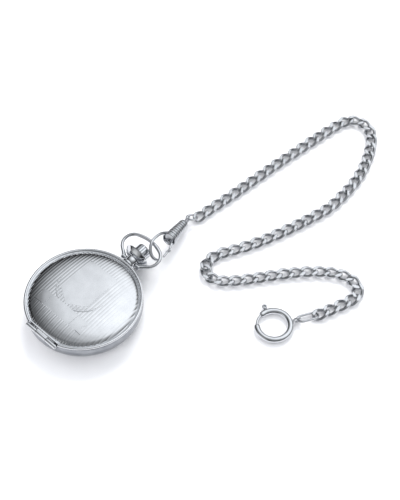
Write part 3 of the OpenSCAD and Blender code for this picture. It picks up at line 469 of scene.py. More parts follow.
def make_spring_ring():
    """Tube with rounded mouths, a fixed eye, and a collar where the eye is soldered on."""
    first = RING_GAP[1] - 360
    last = RING_GAP[0]
    degrees_per_mm = 180 / (math.pi * RING_RADIUS)
    margin = 1.3 * degrees_per_mm
    full = np.linspace(first + margin, last - margin, 200)
    insets = [d * degrees_per_mm * 0.5 for d in (0.0, 0.35, 0.8)]
    mouth = [0.80, 0.93, 0.985]
    angles = [first + d for d in insets] + list(full) + [last - d for d in reversed(insets)]
    radii = mouth + [1.0] * len(full) + list(reversed(mouth))
    tube = swept(ring_arc_line(angles), np.array(radii) * RING_TUBE, 40)
    angle = math.radians(RING_EYE_ANGLE)
    out = Vector((math.cos(angle), math.sin(angle), 0))
    side = Vector((math.sin(angle), -math.cos(angle), 0))
    centre = Vector((*RING_CENTRE, 0)) + out * (RING_RADIUS + RING_TUBE + 1.65)
    eye = swept(ring_line((centre.x, centre.y, 1.9), 1.3, side), 0.45, 20, closed=True)
    inner = Vector((*RING_CENTRE, RING_Z)) + out * (RING_RADIUS + 0.9)
    outer = Vector((*RING_CENTRE, 1.7)) + out * (RING_RADIUS + RING_TUBE + 0.45)
    steps = [inner, inner.lerp(outer, 0.4), inner.lerp(outer, 0.8), outer]
    collar = swept(steps, [0.95, 0.8, 0.62, 0.5], 20)
    obj = mesh_object("spring_ring_body", *joined([tube, eye, collar]))
    return finish_mesh(obj, RING, "root", ["spring_ring"])


def make_ring_bolt():
    bolt = swept(ring_arc_line(np.linspace(147, 228, 60)), 0.62, 20)
    angle = math.radians(RING_TRIGGER_ANGLE)
    out = Vector((math.cos(angle), math.sin(angle), 0))
    foot = Vector((*RING_CENTRE, RING_Z)) + out * (RING_RADIUS + 0.2)
    stem = swept([foot, foot + out * 0.9, foot + out * 1.7], [0.34, 0.32, 0.4], 16)
    knob_outline = [
        (0.001, -0.8), (0.7, -0.78), (1.1, -0.5), (1.22, 0.0), (1.1, 0.5), (0.85, 0.74), (0.55, 0.74),
        (0.45, 0.5), (0.4, 0.0), (0.001, -0.05),
    ]
    knob = turned(rounded(knob_outline, 0.22, closed=False), 48, closed=False)
    knob = moved(knob, Matrix.Translation(foot + out * 2.4))
    obj = mesh_object("ring_trigger_bolt", *joined([bolt, stem, knob]))
    return finish_mesh(obj, RING, "ring_bolt", ["ring_bolt"])


chain, chain_path, chain_length = make_chain()
chain_rings = make_chain_rings()
spring_ring = make_spring_ring()
ring_bolt = make_ring_bolt()


# ---------- case ----------

BAND = (3.4, 9.5)
CASE_RADIUS = 24.0
COVER_RADIUS = 22.9
COVER_TOP = 13.5
COVER_SHEET = 0.36
HINGE = (-23.1, 9.6)
HINGE_TUBE = 0.9
HINGE_HALF = 8.2
KNUCKLE_HALF = 2.8
GROOVE_PITCH = 1.34
FINE_PITCH = 0.96
GROOVE_DEPTH = 0.045
SHIELD_X = (-9.0, 5.8)
SHIELD_Y = (-7.8, -3.3, 13.8)
SHIELD_TIP_X = -1.5
BANNER_X = (-14.3, 12.4)
BANNER_Y = (-13.7, -8.2)
RIM_OUTLINE = [
    (22.2, 9.78), (23.4, 9.72), (23.95, 9.86), (24.05, 10.2), (23.9, 10.62), (23.4, 10.8), (23.02, 10.62),
    (22.8, 10.2), (22.2, 10.1),
]


def ease(start, end, value):
    t = np.clip((value - start) / (end - start), 0, 1)
    return t * t * (3 - 2 * t)


def dome(r):
    return COVER_TOP - 0.0012 * r ** 2 - 2.2 * (r / 22) ** 5 - 0.3 * ease(21, 23, r)


def groove(x, pitch):
    """0 on a ridge and 1 in the valley beside it."""
    s = x / pitch - np.round(x / pitch)
    return (2 * s) ** 2


def cover_height(x, y):
    r = np.sqrt(x * x + y * y)
    deep = GROOVE_DEPTH * (1 + 2.4 * ease(21.0, 22.6, r))
    below = ease(BANNER_Y[1] - 0.4, BANNER_Y[1] - 1.4, y) * ease(14.4, 12.6, np.abs(x + 0.9))
    coarse = groove(x, GROOVE_PITCH)
    mixed = 0.6 * coarse + 0.6 * groove(x + 0.2, FINE_PITCH)
    return dome(r) - deep * (coarse + (mixed - coarse) * below)


def cover_inside(x, y):
    r = np.sqrt(x * x + y * y)
    return dome(r) - COVER_SHEET * (1 - 0.6 * ease(21, COVER_RADIUS, r))


def shell(outer, inner):
    """Closed solid between two grids of points that have the same columns but may differ in rows."""
    rows, columns = outer.shape[:2]
    inner_rows = inner.shape[0]
    faces = grid_faces(rows, columns)
    start = rows * columns
    faces += [tuple(start + i for i in reversed(face)) for face in grid_faces(inner_rows, columns)]
    last = (rows - 1) * columns
    inner_last = start + (inner_rows - 1) * columns
    for j in range(columns - 1):
        faces.append((j + 1, j, start + j, start + j + 1))
        faces.append((last + j, last + j + 1, inner_last + j + 1, inner_last + j))
    return np.concatenate([outer.reshape(-1, 3), inner.reshape(-1, 3)]), faces


def slab(top, drop, spread):
    """Closed thin plate under a grid of points, with sloping sides."""
    rows, columns = top.shape[:2]
    middle = top.reshape(-1, 3).mean(0)
    size = np.ptp(top.reshape(-1, 3), axis=0)
    bottom = top.copy()
    bottom[:, :, 0] += (top[:, :, 0] - middle[0]) / size[0] * 2 * spread
    bottom[:, :, 1] += (top[:, :, 1] - middle[1]) / size[1] * 2 * spread
    bottom[:, :, 2] -= drop
    verts, faces = shell(top, bottom)
    start = rows * columns
    for i in range(rows - 1):
        a = i * columns
        b = a + columns
        faces.append((a, b, start + b, start + a))
        faces.append((b + columns - 1, a + columns - 1, start + a + columns - 1, start + b + columns - 1))
    return verts, faces


def surface_grid(xs, ys, lift):
    """Points on the smooth dome; xs is a grid of x, ys a grid of y."""
    return np.stack([xs, ys, dome(np.sqrt(xs * xs + ys * ys)) + lift], axis=2)


def shield_plate():
    point_rows = np.linspace(SHIELD_Y[0], SHIELD_Y[1], 16)
    rows = np.concatenate([point_rows, np.linspace(SHIELD_Y[1], SHIELD_Y[2], 50)[1:]])
    t = np.linspace(0, 1, 60)
    xs = []
    for y in rows:
        open_width = min(1.0, (y - SHIELD_Y[0]) / (SHIELD_Y[1] - SHIELD_Y[0]) + 0.004)
        left = SHIELD_TIP_X + (SHIELD_X[0] - SHIELD_TIP_X) * open_width
        right = SHIELD_TIP_X + (SHIELD_X[1] - SHIELD_TIP_X) * open_width
        xs.append(left + (right - left) * t)
    xs = np.array(xs)
    ys = np.repeat(rows[:, None], len(t), axis=1)
    return slab(surface_grid(xs, ys, 0.035), 0.16, 0.09)


def banner_plate():
    rows = np.linspace(BANNER_Y[0], BANNER_Y[1], 24)
    t = np.linspace(0, 1, 110)
    middle = (BANNER_Y[0] + BANNER_Y[1]) / 2
    half = (BANNER_Y[1] - BANNER_Y[0]) / 2
    xs = []
    for y in rows:
        notch = 1.9 * (1 - abs(y - middle) / half)
        left = BANNER_X[0] + notch
        right = BANNER_X[1] - notch
        xs.append(left + (right - left) * t)
    xs = np.array(xs)
    ys = np.repeat(rows[:, None], len(t), axis=1)
    return slab(surface_grid(xs, ys, 0.035), 0.16, 0.09)


def raised_line(points, radius, lift=0.0, steps=24):
    """Fine raised line on the dome."""
    points = np.array(points, float)
    line = []
    for a, b in zip(points[:-1], points[1:]):
        for k in range(steps):
            line.append(a + (b - a) * k / steps)
    line.append(points[-1])
    line = np.array(line)
    height = dome(np.sqrt((line ** 2).sum(1))) + lift
    return swept(np.column_stack([line, height]), radius, 8)


GARLAND_CENTRE = (-1.5, 2.6)
GARLAND_RADIUS = 11.4


def garland():
    """Plain ring under the shield, and the fine hatching between the two."""
    parts = []
    angles = np.radians(np.linspace(205, 332, 90))
    ring = np.column_stack([
        GARLAND_CENTRE[0] + GARLAND_RADIUS * np.cos(angles),
        GARLAND_CENTRE[1] + GARLAND_RADIUS * np.sin(angles),
    ])
    above = [p for p in ring if p[1] > BANNER_Y[1] + 0.15]
    left = [p for p in above if p[0] < GARLAND_CENTRE[0]]
    right = [p for p in above if p[0] >= GARLAND_CENTRE[0]]
    for run in (left, right):
        parts.append(raised_line(run, 0.22, -0.1, 2))
    for k in range(60):
        x = -12.5 + 0.38 * k
        reach = GARLAND_RADIUS ** 2 - (x - GARLAND_CENTRE[0]) ** 2
        if reach <= 0.4:
            continue
        low = max(GARLAND_CENTRE[1] - math.sqrt(reach) + 0.2, BANNER_Y[1] + 0.2)
        side = SHIELD_X[0] if x < SHIELD_TIP_X else SHIELD_X[1]
        slope = (x - SHIELD_TIP_X) / (side - SHIELD_TIP_X)
        high = SHIELD_Y[0] + (SHIELD_Y[1] - SHIELD_Y[0]) * slope - 0.3 if slope < 1 else low + 1.6
        if high - low > 0.5:
            parts.append(raised_line([(x, low), (x + 0.25, high)], 0.06, -0.03, 6))
    return parts


def make_front_cover():
    columns = 640
    rows = 118
    u = np.linspace(-math.pi / 2, math.pi / 2, columns)
    x = COVER_RADIUS * np.sin(u)
    top = np.sqrt(np.maximum(COVER_RADIUS ** 2 - x * x, 0))
    bottom = np.maximum(-top, HINGE[0] + 0.8)

    def spread(count, height):
        t = np.linspace(0, 1, count)[:, None]
        xs = np.repeat(x[None, :], count, axis=0)
        ys = bottom[None, :] + (top - bottom)[None, :] * t
        return np.stack([xs, ys, height(xs, ys)], axis=2)

    outer = spread(rows, cover_height)
    inner = spread(14, cover_inside)
    notch = math.degrees(math.asin((HINGE_HALF + 0.15) / 23.6))
    parts = [
        shell(outer, inner),
        turned_part(rounded(RIM_OUTLINE, 0.16), -90 + notch, 270 - notch, 260),
        shield_plate(),
        banner_plate(),
        raised_line([(-8.5, -8.4), (-8.4, -13.5)], 0.06, 0.05),
        raised_line([(6.1, -8.4), (5.8, -13.5)], 0.06, 0.05),
        block((-HINGE_HALF + 0.1, -21.9, 10.0), (HINGE_HALF - 0.1, -21.5, 11.0)),
        turned_part([(22.3, 9.72), (23.3, 9.72), (23.3, 10.0), (22.3, 10.0)], 84, 96, 8),
    ]
    parts += garland()
    obj = mesh_object("engraved_front_cover", *joined(parts))
    clean(obj)
    return finish_mesh(obj, ENGRAVED, "lid", ["front_cover"], 50)


def turned_part(outline, start, end, segments):
    """Part of a solid of revolution about Z, with closed ends."""
    angles = np.radians(np.linspace(start, end, segments + 1))
    count = len(outline)
    verts = [(r * math.cos(a), r * math.sin(a), z) for a in angles for r, z in outline]
    faces = grid_faces(segments + 1, count, close_columns=True)
    last = segments * count
    faces.append(tuple(reversed(range(count))))
    faces.append(tuple(range(last, last + count)))
    return np.array(verts), faces


def block(low, high):
    xs, ys, zs = zip(low, high)
    verts = [(x, y, z) for z in zs for y in ys for x in xs]
    faces = [(0, 2, 3, 1), (4, 5, 7, 6), (0, 1, 5, 4), (2, 6, 7, 3), (0, 4, 6, 2), (1, 3, 7, 5)]
    return np.array(verts, float), faces


def clean(obj, distance=0.0004):
    """Merges doubled points and turns all faces outwards."""
    mesh = bmesh.new()
    mesh.from_mesh(obj.data)
    bmesh.ops.remove_doubles(mesh, verts=mesh.verts, dist=distance * MM)
    bmesh.ops.dissolve_degenerate(mesh, edges=mesh.edges, dist=distance * 0.1 * MM)
    bmesh.ops.recalc_face_normals(mesh, faces=mesh.faces)
    mesh.to_mesh(obj.data)
    mesh.free()
    return obj


def cut(obj, cutter_part):
    """Cuts a closed part out of obj."""
    cutter = mesh_object("cutter", *cutter_part)
    clean(cutter)
    modifier = obj.modifiers.new("cut", "BOOLEAN")
    modifier.operation = "DIFFERENCE"
    modifier.solver = "EXACT"
    modifier.object = cutter
    graph = bpy.context.evaluated_depsgraph_get()
    mesh = bpy.data.meshes.new_from_object(obj.evaluated_get(graph))
    obj.modifiers.clear()
    obj.data = mesh
    bpy.data.objects.remove(cutter)
    return obj


def arc_points(centre, radius, start, end, count):
    return [
        (centre[0] + radius * math.cos(math.radians(a)), centre[1] + radius * math.sin(math.radians(a)))
        for a in np.linspace(start, end, count)
    ]


def make_case_middle():
    half = (BAND[1] - BAND[0]) / 2
    bulge = 1.15
    radius = (half ** 2 + bulge ** 2) / (2 * bulge)
    reach = math.degrees(math.asin(half / radius))
    outline = [(18.4, 3.4), (21.4, 3.4), (21.4, 4.5), (22.3, 4.5), (22.3, 3.4)]
    outline += arc_points((CASE_RADIUS - radius, (BAND[0] + BAND[1]) / 2), radius, -reach, reach, 26)
    outline += [(22.45, 9.5), (22.45, 5.6), (20.9, 5.6), (20.9, 9.3), (20.75, 9.3), (20.2, 9.3)]
    outline += [(20.2, 4.2), (18.4, 4.2)]
    obj = mesh_object("case_band", *turned(outline, 256))
    clean(obj)
    cut(obj, block((-HINGE_HALF - 0.1, -26, 8.4), (HINGE_HALF + 0.1, -21.85, 11)))
    cut(obj, around_stem_part([(0.001, 15), (2.28, 15), (2.28, 26), (0.001, 26)], 48))
    # The band gets the darker copy of the case steel, which paints shade into its colour.
    return finish_mesh(obj, SHADED_BAND_STEEL, "root", ["case_middle"])


BACK_FLAT = 15
BACK_SHEET = 0.55


def make_back_cover():
    rise = BAND[0] - 0.1
    edge = CASE_RADIUS - 1.2
    outer = []
    inner = []
    for turn in range(0, 91, 6):
        c = math.cos(math.radians(turn))
        s = math.sin(math.radians(turn))
        r = BACK_FLAT + (edge - BACK_FLAT) * s
        z = rise * (1 - c)
        outer.append((r, z))
        inner.append((r - BACK_SHEET * s, z + BACK_SHEET * c))
    outline = [(0.001, 0)] + outer + list(reversed(inner)) + [(0.001, BACK_SHEET)]
    lip = [(21.45, rise - 0.35), (22.25, rise - 0.35), (22.25, 4.3), (21.45, 4.3)]
    obj = mesh_object("snap_back", *joined([turned(outline, 256), turned(rounded(lip, 0.08), 256)]))
    clean(obj)
    return finish_mesh(obj, POLISHED, "root", ["back_cover"])


def tube_along_x(start, end, bore):
    outline = rounded([(bore, start), (HINGE_TUBE, start), (HINGE_TUBE, end), (bore, end)], 0.12)
    place = Matrix.Translation((0, HINGE[0], HINGE[1])) @ Matrix.Rotation(math.pi / 2, 4, "Y")
    return moved(turned(outline, 40), place)


def make_hinge():
    lid = mesh_object("lid_knuckle", *joined([
        tube_along_x(-KNUCKLE_HALF, KNUCKLE_HALF, 0.4),
        block((-KNUCKLE_HALF, HINGE[0] + 0.4, 10.05), (KNUCKLE_HALF, HINGE[0] + 1.25, 10.42)),
    ]))
    clean(lid)
    finish_mesh(lid, POLISHED, "lid", ["lid_hinge_tube"])
    low = KNUCKLE_HALF + 0.1
    sides = []
    for start, end in ((low, HINGE_HALF), (-HINGE_HALF, -low)):
        sides.append(tube_along_x(start, end, 0.36))
        sides.append(block((start, HINGE[0] + 0.1, 8.42), (end, HINGE[0] + 1.15, 8.98)))
    case = mesh_object("case_knuckles", *joined(sides))
    clean(case)
    finish_mesh(case, POLISHED, "root", ["case_hinge_tubes"])


# ---------- pendant, crown and bow ----------

STEM_Z = 6.8
NECK = 2.3
PIVOT_Y = 26.9
BOW_TILT = 14
BOW_WIRE = 0.75
CROWN_RADIUS = 3.4
CROWN_Y = (29.6, 35.5)
CROWN_FLUTES = 20
FLUTE_DEPTH = 0.48


def around_stem_part(outline, segments=96):
    """outline is (radius, y)."""
    place = Matrix.Translation((0, 0, STEM_Z)) @ Matrix.Rotation(-math.pi / 2, 4, "X")
    return moved(turned(outline, segments), place)


def make_pendant():
    outline = [(1.3, 22.7), (NECK, 22.7), (NECK, 23.7), (NECK + 0.12, 24.1)]
    outline += arc_points((NECK + 0.1, 25), 0.8, -75, 75, 12)
    outline += [(NECK + 0.1, 25.95), (NECK + 0.3, 26.2), (NECK + 0.3, 27.5)]
    flank = []
    for k in range(15):
        s = k / 14
        flank.append((NECK + 0.3 + (6 - NECK - 0.3) * s, 28 + 2.3 * s - 0.45 * math.sin(math.pi * s)))
    outline += flank
    outline += [(6.02, 30.42), (5.9, 30.62), (5.72, 30.68)]
    outline += [(r - 0.28, y + 0.42) for r, y in reversed(flank[3:-1])]
    outline += [(2.4, 28.95), (1.3, 28.9)]
    obj = mesh_object("pendant_cup", *around_stem_part(outline, 144))
    clean(obj)
    return finish_mesh(obj, POLISHED, "root", ["pendant"], 40)


def make_crown():
    flute = 12
    segments = CROWN_FLUTES * flute
    profile = [(0.9, CROWN_Y[0]), (2.9, CROWN_Y[0]), (3.2, CROWN_Y[0] + 0.15)]
    profile += [(CROWN_RADIUS, CROWN_Y[0] + 0.55 + 4.3 * k / 10) for k in range(11)]
    profile += arc_points((CROWN_RADIUS - 0.8, CROWN_Y[1] - 0.85), 0.8, 5, 90, 9)
    profile += [(2.1, CROWN_Y[1] + 0.04), (1.2, CROWN_Y[1] + 0.12), (0.001, CROWN_Y[1] + 0.15)]
    verts = []
    for r, y in profile:
        depth = FLUTE_DEPTH * ease(2.4, 3.2, r)
        for k in range(segments):
            phase = k / flute * 2 * math.pi
            dip = max(0.0, math.cos(phase)) ** 0.6
            radius = r - float(depth) * dip
            angle = 2 * math.pi * k / segments
            verts.append((radius * math.cos(angle), y, STEM_Z + radius * math.sin(angle)))
    faces = grid_faces(len(profile), segments, close_columns=True)
    faces.append(tuple(range(segments)))
    obj = mesh_object("fluted_crown", verts, faces)
    clean(obj)
    return finish_mesh(obj, KNURLED, "crown", ["crown"], 32)


def bow_line():
    """Half of the bow's centre line from foot to top, then its mirror."""
    side = np.array((4.8, 6.4))
    radius = 4.6
    foot = np.array((3.8, 0.0))
    top = 12.0
    rise = top - side[1] - radius
    drop = (side[0] ** 2 - rise ** 2) / (2 * rise)
    top_radius = top - side[1] + drop
    join = math.degrees(math.atan2(side[0], drop))
    away = foot - side
    foot_angle = math.degrees(math.atan2(away[1], away[0]) + math.acos(radius / np.linalg.norm(away)))
    arc_start = arc_points(side, radius, foot_angle, foot_angle, 1)[0]
    half = [tuple(foot), tuple((foot + np.array(arc_start)) * 0.5)]
    half += arc_points(side, radius, foot_angle, 90 - join, 60)
    half += arc_points((0, side[1] - drop), top_radius, 90 - join, 90, 24)[1:]
    return half + [(-u, v) for u, v in reversed(half[:-1])]


def make_bow():
    line = Path(np.array(bow_line()))
    count = 150
    points = np.array([line.at(line.length * k / count) for k in range(count + 1)])
    travel = np.linspace(0, line.length, count + 1)
    near = np.minimum(travel, line.length - travel)
    radii = BOW_WIRE + 0.16 * ease(3.2, 0.4, near) + 0.07 * ease(12, 17, near)
    wire = swept(np.column_stack([points, np.zeros(len(points))]), radii, 28)
    parts = [wire]
    for s in (1, -1):
        ear = [(0.001, 2.85), (0.98, 2.85), (1.05, 3.0), (1.05, 4.7), (0.98, 4.85), (0.001, 4.85)]
        ear = rounded(ear, 0.06, False)
        turn = Matrix.Rotation(s * math.pi / 2, 4, "Y")
        parts.append(moved(turned(ear, 40, closed=False), turn))
    place = Matrix.Translation((0, PIVOT_Y, STEM_Z)) @ Matrix.Rotation(math.radians(BOW_TILT), 4, "X")
    obj = mesh_object("bow_loop", *moved(joined(parts), place))
    clean(obj)
    return finish_mesh(obj, POLISHED, "bow", ["bow"], 45)


# ---------- clip ----------

CLIP_WIDE = Vector((3.95, 45.55, 7))
CLIP_NARROW = Vector((1.05, 58.05, 3.6))
CLIP_LENGTH = (CLIP_NARROW - CLIP_WIDE).length
CLIP_TURN = (CLIP_NARROW - CLIP_WIDE).to_track_quat("Z", "X").to_matrix().to_4x4()
CLIP_PLACE = Matrix.Translation(CLIP_WIDE) @ CLIP_TURN
HOOK = [
    (2.0, 47.4, 8.4), (1.25, 45.2, 9.7), (1.1, 42.6, 10.9), (1.6, 39, 11.7), (2.2, 36.9, 11.4),
    (3.4, 35.2, 10.3), (4.8, 34.2, 9), (6.5, 34.1, 7.7), (7.8, 35, 6.9), (8.2, 36.6, 6.5),
]
ARM = [(2.6, 48, 7.5), (4.8, 47.6, 6.4), (6.0, 45.1, 6.3), (7.05, 42.85, 6.3)]
GATE_PIVOT = Vector((7.45, 41.4, 6.3))
GATE_TIP = Vector((8.1, 37.8, 6.5))
GATE_AXIS = Vector((0.529, 0.334, 0.779))
RIB_COUNT = 8


def make_clip_barrel():
    wide = 3.1
    narrow = 2.0
    rib = (CLIP_LENGTH - 1.6) / RIB_COUNT
    outline = [(0.001, 1.5), (2.3, 1.5), (2.5, 1.3), (2.62, 0.2), (2.8, 0.0), (wide - 0.1, 0.1)]
    outline += [(wide, 0.4), (wide - 0.05, 0.75)]
    for i in range(RIB_COUNT):
        for k, dip in ((0.04, 0.42), (0.2, 0.1), (0.5, 0.0), (0.8, 0.1), (0.96, 0.42)):
            z = 0.8 + rib * (i + k)
            outline.append((wide + (narrow - wide) * z / CLIP_LENGTH - dip, z))
    mouth = [(narrow, -0.7), (narrow, -0.35), (narrow - 0.35, 0), (0.86, 0), (0.86, -2), (1.45, -2)]
    mouth += [(1.45, -5), (0.001, -5)]
    outline += [(r, CLIP_LENGTH + z) for r, z in mouth]
    obj = mesh_object("ribbed_barrel", *moved(turned(outline, 96, closed=False), CLIP_PLACE))
    clean(obj)
    return finish_mesh(obj, RIBBED, "clip", ["clip_barrel"], 50)


def make_clip_hook():
    hook = smooth_curve(HOOK, 10)
    count = len(hook)
    radii = 0.62 * (1 + 0.1 * np.sin(np.linspace(0, math.pi, count)))
    radii[-3:] = (0.6, 0.5, 0.28)
    arm = smooth_curve(ARM, 10)
    ears = []
    axis = GATE_AXIS.normalized()
    for s in (1, -1):
        a = GATE_PIVOT + axis * (s * 0.67)
        b = GATE_PIVOT + axis * (s * 0.97)
        ears.append(swept([a, b], 0.6, 24))
    end = Vector(ARM[-1])
    fork = [
        swept([end + axis * (s * 0.5), GATE_PIVOT + axis * (s * 0.82)], 0.24, 12)
        for s in (1, -1)
    ]
    wires = [swept(hook, radii, 24), swept(arm, 0.6, 24)]
    obj = mesh_object("clip_bow", *joined(wires + ears + fork))
    clean(obj)
    return finish_mesh(obj, POLISHED, "clip", ["clip_hook"], 45)


def make_clip_gate():
    middle = GATE_PIVOT.lerp(GATE_TIP, 0.5) + Vector((0.05, 0, 0.05))
    line = smooth_curve([GATE_PIVOT, middle, GATE_TIP], 12)
    radii = np.concatenate([np.linspace(0.42, 0.55, len(line) - 3), (0.5, 0.4, 0.2)])
    axis = GATE_AXIS.normalized()
    boss = swept([GATE_PIVOT - axis * 0.35, GATE_PIVOT + axis * 0.35], 0.65, 28)
    obj = mesh_object("gate_leaf", *joined([swept(line, radii, 20), boss]))
    clean(obj)
    return finish_mesh(obj, POLISHED, "clip_gate", ["clip_gate"], 45)


def make_clip_eye():
    reach = 2.8
    outline = [
        (0.001, -4.7), (1.3, -4.7), (1.35, -4.3), (0.78, -4.15), (0.78, 0.3), (0.95, 0.5),
        (0.78, 0.8), (0.62, 1.35), (0.001, 1.4),
    ]
    outline = [(r, CLIP_LENGTH + z) for r, z in outline]
    post = turned(outline, 40, closed=False)
    loop = swept(ring_line((0, 0, CLIP_LENGTH + reach), 1.5, (0, 1, 0)), 0.5, 24, closed=True)
    obj = mesh_object("swivel_eye", *moved(joined([post, loop]), CLIP_PLACE))
    clean(obj)
    return finish_mesh(obj, POLISHED, "clip_swivel", ["clip_eye"], 45)


# ---------- glass, dial and numerals ----------

DIAL_TOP = 9.4


def make_crystal():
    bezel = [
        (17.95, 9.7), (20.65, 9.7), (20.65, 10.4), (20.2, 11.0), (19.8, 11.3), (19.1, 11.55),
        (18.75, 11.5), (18.75, 11.3), (18.98, 11.25), (18.98, 10.78), (17.95, 10.78),
    ]
    obj = mesh_object("bezel_ring", *turned(rounded(bezel, 0.08), 256))
    clean(obj)
    finish_mesh(obj, POLISHED, "root", ["crystal_bezel"])
    top = [(r, 12.08 - 0.78 * (r / 18.6) ** 2.2) for r in np.linspace(0, 18.6, 24)]
    under = [(r, 11.48 - 0.7 * (r / 17.6) ** 2.2) for r in np.linspace(17.6, 0, 24)]
    glass = mesh_object("domed_crystal", *turned(top + [(18.96, 11.24), (18.96, 10.8)] + under, 192))
    clean(glass)
    return finish_mesh(glass, ACRYLIC, "root", ["crystal"])


def text_mesh(words, size, x, y, turn):
    curve = bpy.data.curves.new("numeral", "FONT")
    curve.body = words
    curve.size = size
    curve.align_x = "CENTER"
    curve.align_y = "CENTER"
    curve.extrude = 0.012
    curve.offset = 0.02
    holder = bpy.data.objects.new("numeral", curve)
    bpy.context.scene.collection.objects.link(holder)
    graph = bpy.context.evaluated_depsgraph_get()
    mesh = bpy.data.meshes.new_from_object(holder.evaluated_get(graph))
    place = Matrix.Translation((x, y, DIAL_TOP + 0.012)) @ Matrix.Rotation(turn, 4, "Z")
    verts = [place @ v.co for v in mesh.vertices]
    faces = [tuple(p.vertices) for p in mesh.polygons]
    bpy.data.objects.remove(holder)
    return np.array(verts), faces


def make_dial_print():
    parts = []
    for hour in range(1, 13):
        angle = math.radians(90 - 30 * hour)
        if hour == 6:
            continue
        parts.append(text_mesh(str(hour), 3.1, 13.4 * math.cos(angle), 13.4 * math.sin(angle), 0))
    for minute in range(60):
        angle = math.radians(6 * minute)
        wide = 0.16 if minute % 5 == 0 else 0.06
        inner = 16.2 if minute % 5 == 0 else 16.7
        tick = block((inner, -wide, DIAL_TOP - 0.01), (17.4, wide, DIAL_TOP + 0.02))
        parts.append(moved(tick, Matrix.Rotation(angle, 4, "Z")))
    low = DIAL_TOP - 0.01
    high = DIAL_TOP + 0.02
    parts.append(turned([(17.4, low), (17.52, low), (17.52, high), (17.4, high)], 192))
    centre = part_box("seconds_hand")
    seconds_x = (centre[0][0] + centre[1][0]) / 2 / MM
    seconds_y = centre[0][1] / MM + 0.5
    for k in range(60):
        long = k % 5 == 0
        tick = block((2.9 if long else 3.2, -0.03, DIAL_TOP - 0.09), (3.6, 0.03, DIAL_TOP - 0.06))
        place = Matrix.Translation((seconds_x, seconds_y, 0)) @ Matrix.Rotation(math.radians(6 * k), 4, "Z")
        parts.append(moved(tick, place))
    obj = mesh_object("dial_print", *joined(parts))
    return finish_mesh(obj, INK, "root", [])


make_front_cover()
make_case_middle()
make_back_cover()
make_hinge()
make_pendant()
make_crown()
make_bow()
make_clip_barrel()
make_clip_hook()
make_clip_gate()
make_clip_eye()
make_crystal()
make_dial_print()


# ---------- pieces that keep their CAD shape ----------

CAD_MATERIALS = {
    "enamel": (ENAMEL, ["dial"]),
    "blued_steel": (BLUED, [
        "hour_hand", "minute_hand", "seconds_hand", "movement_screws", "ratchet_screw",
    ]),
    "ruby": (RUBY, ["jewels"]),
    "gilt_plate": (GILT, [
        "mainplate", "barrel_bridge", "train_bridge", "balance_cock", "pallet_bridge",
        "balance_wheel",
    ]),
    "brass": (BRASS, [
        "barrel", "barrel_cover", "centre_wheel", "third_wheel", "fourth_wheel", "minute_wheel",
        "hour_wheel",
    ]),
    "spring_steel": (SPRING, [
        "lift_spring", "lock_spring", "click_spring", "hairspring", "mainspring",
    ]),
    "wheel_steel": (WHEELS, [
        "hinge_pin", "case_screws", "bow_screws", "push_sleeve", "winding_stem",
        "winding_pinion", "clutch_wheel", "crown_wheel", "ratchet_wheel", "click",
        "barrel_arbor", "escape_wheel", "pallet_fork", "cannon_pinion", "setting_wheel",
        "clip_gate_pin",
    ]),
}


def dress_cad_nodes():
    for slot_name, (material, names) in CAD_MATERIALS.items():
        for name in names:
            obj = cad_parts[name]
            obj.data.materials.clear()
            obj.data.materials.append(material)
            obj.data.polygons.foreach_set("use_smooth", [True] * len(obj.data.polygons))
            obj.data.set_sharp_from_angle(angle=math.radians(30))


dress_cad_nodes()


# ---------- floor, light and camera view ----------

GLOW_DIRECTION = (0.02, 0.56, 0.82)
GLOW_STOPS = [(0.0, 0.02), (0.40, 0.12), (0.60, 0.30), (0.75, 0.62), (0.87, 1.0), (0.96, 1.25)]
ROOM_DIRECTION = (0.75, -0.2, 0.6)
ROOM_STOPS = [(0.0, 0.01), (0.3, 0.04), (0.6, 0.10), (0.85, 0.20), (1.0, 0.16)]
FRONT_DIRECTION = (-0.3, -0.93, 0.2)
FRONT_STOPS = [(0.0, 0.0), (0.76, 0.0), (0.91, 0.35), (1.0, 0.8)]
HORIZON_STOPS = [(0.0, 0.10), (0.12, 0.14), (0.3, 0.5), (0.5, 1.0)]
WORLD_STRENGTH = 1.1


def make_floor():
    made = Material("paper").set(Roughness=0.62, Specular_IOR_Level=0.3)
    whites = [(0.3, (0.93, 0.93, 0.945)), (0.7, (0.95, 0.95, 0.96))]
    made.link(made.ramp(made.noise(40, 2), whites), "Base Color")
    made.bump(made.noise(900, 3), 0.002)
    half = 1500
    corners = [(-half, -half, 0), (half, -half, 0), (half, half, 0), (-half, half, 0)]
    floor = mesh_object("floor", corners, [(0, 1, 2, 3)])
    floor.data.materials.append(made.material)


def area_light(name, place, target, size, power, colour=(1, 1, 1), mirrored=True):
    data = bpy.data.lights.new(name, "AREA")
    data.shape = "RECTANGLE"
    data.size = size[0]
    data.size_y = size[1]
    data.energy = power
    data.color = colour
    light = bpy.data.objects.new(name, data)
    light.location = place
    aim = Vector(target) - Vector(place)
    light.rotation_euler = aim.to_track_quat("-Z", "Y").to_euler()
    light.visible_glossy = mirrored
    bpy.context.scene.collection.objects.link(light)


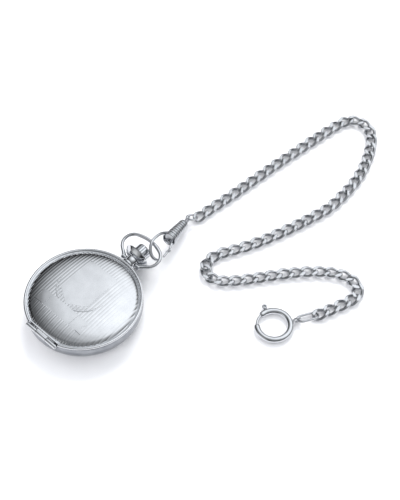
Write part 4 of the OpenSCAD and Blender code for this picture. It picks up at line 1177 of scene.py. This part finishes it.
def make_world():
    """Dark studio room lit by one large soft glow behind and above the watch."""
    world = bpy.data.worlds.new("studio")
    bpy.context.scene.world = world
    world.use_nodes = True
    nodes = world.node_tree.nodes
    links = world.node_tree.links
    place = nodes.new("ShaderNodeTexCoord")

    def along(direction):
        """How far a ray points along direction, from -1 to 1."""
        dot = nodes.new("ShaderNodeVectorMath")
        dot.operation = "DOT_PRODUCT"
        dot.inputs[1].default_value = Vector(direction).normalized()
        links.new(place.outputs["Generated"], dot.inputs[0])
        return dot.outputs["Value"]

    def ramp(value, stops):
        made = nodes.new("ShaderNodeValToRGB")
        made.color_ramp.interpolation = "EASE"
        while len(made.color_ramp.elements) < len(stops):
            made.color_ramp.elements.new(0.5)
        for element, (position, grey) in zip(made.color_ramp.elements, stops):
            element.position = position
            element.color = (grey * 0.97, grey * 0.985, grey, 1)
        links.new(value, made.inputs["Fac"])
        return made.outputs["Color"]

    def combine(operation, a, b):
        made = nodes.new("ShaderNodeMix")
        made.data_type = "RGBA"
        made.blend_type = operation
        made.inputs["Factor"].default_value = 1
        links.new(a, made.inputs["A"])
        links.new(b, made.inputs["B"])
        return made.outputs["Result"]

    glow = ramp(along(GLOW_DIRECTION), GLOW_STOPS)
    room = ramp(along(ROOM_DIRECTION), ROOM_STOPS)
    height = ramp(along((0, 0, 1)), HORIZON_STOPS)
    front = ramp(along(FRONT_DIRECTION), FRONT_STOPS)
    studio = combine("ADD", combine("MULTIPLY", combine("ADD", glow, room), height), front)
    links.new(studio, nodes["Background"].inputs["Color"])
    nodes["Background"].inputs["Strength"].default_value = WORLD_STRENGTH


make_floor()
make_world()
area_light("key", (-0.35, 0.62, 0.70), (0.02, 0.05, 0), (0.5, 0.35), 5.6, (1, 0.99, 0.98), False)
area_light("fill_front", (0.35, -0.75, 0.95), (0.03, 0.05, 0), (1.2, 1.0), 8.6, (0.97, 0.97, 1), False)
area_light("fill_left", (-0.95, -0.2, 0.75), (0.03, 0.05, 0), (1.0, 1.0), 5.0, (0.97, 0.97, 1), False)
bpy.context.scene.view_settings.view_transform = "Standard"
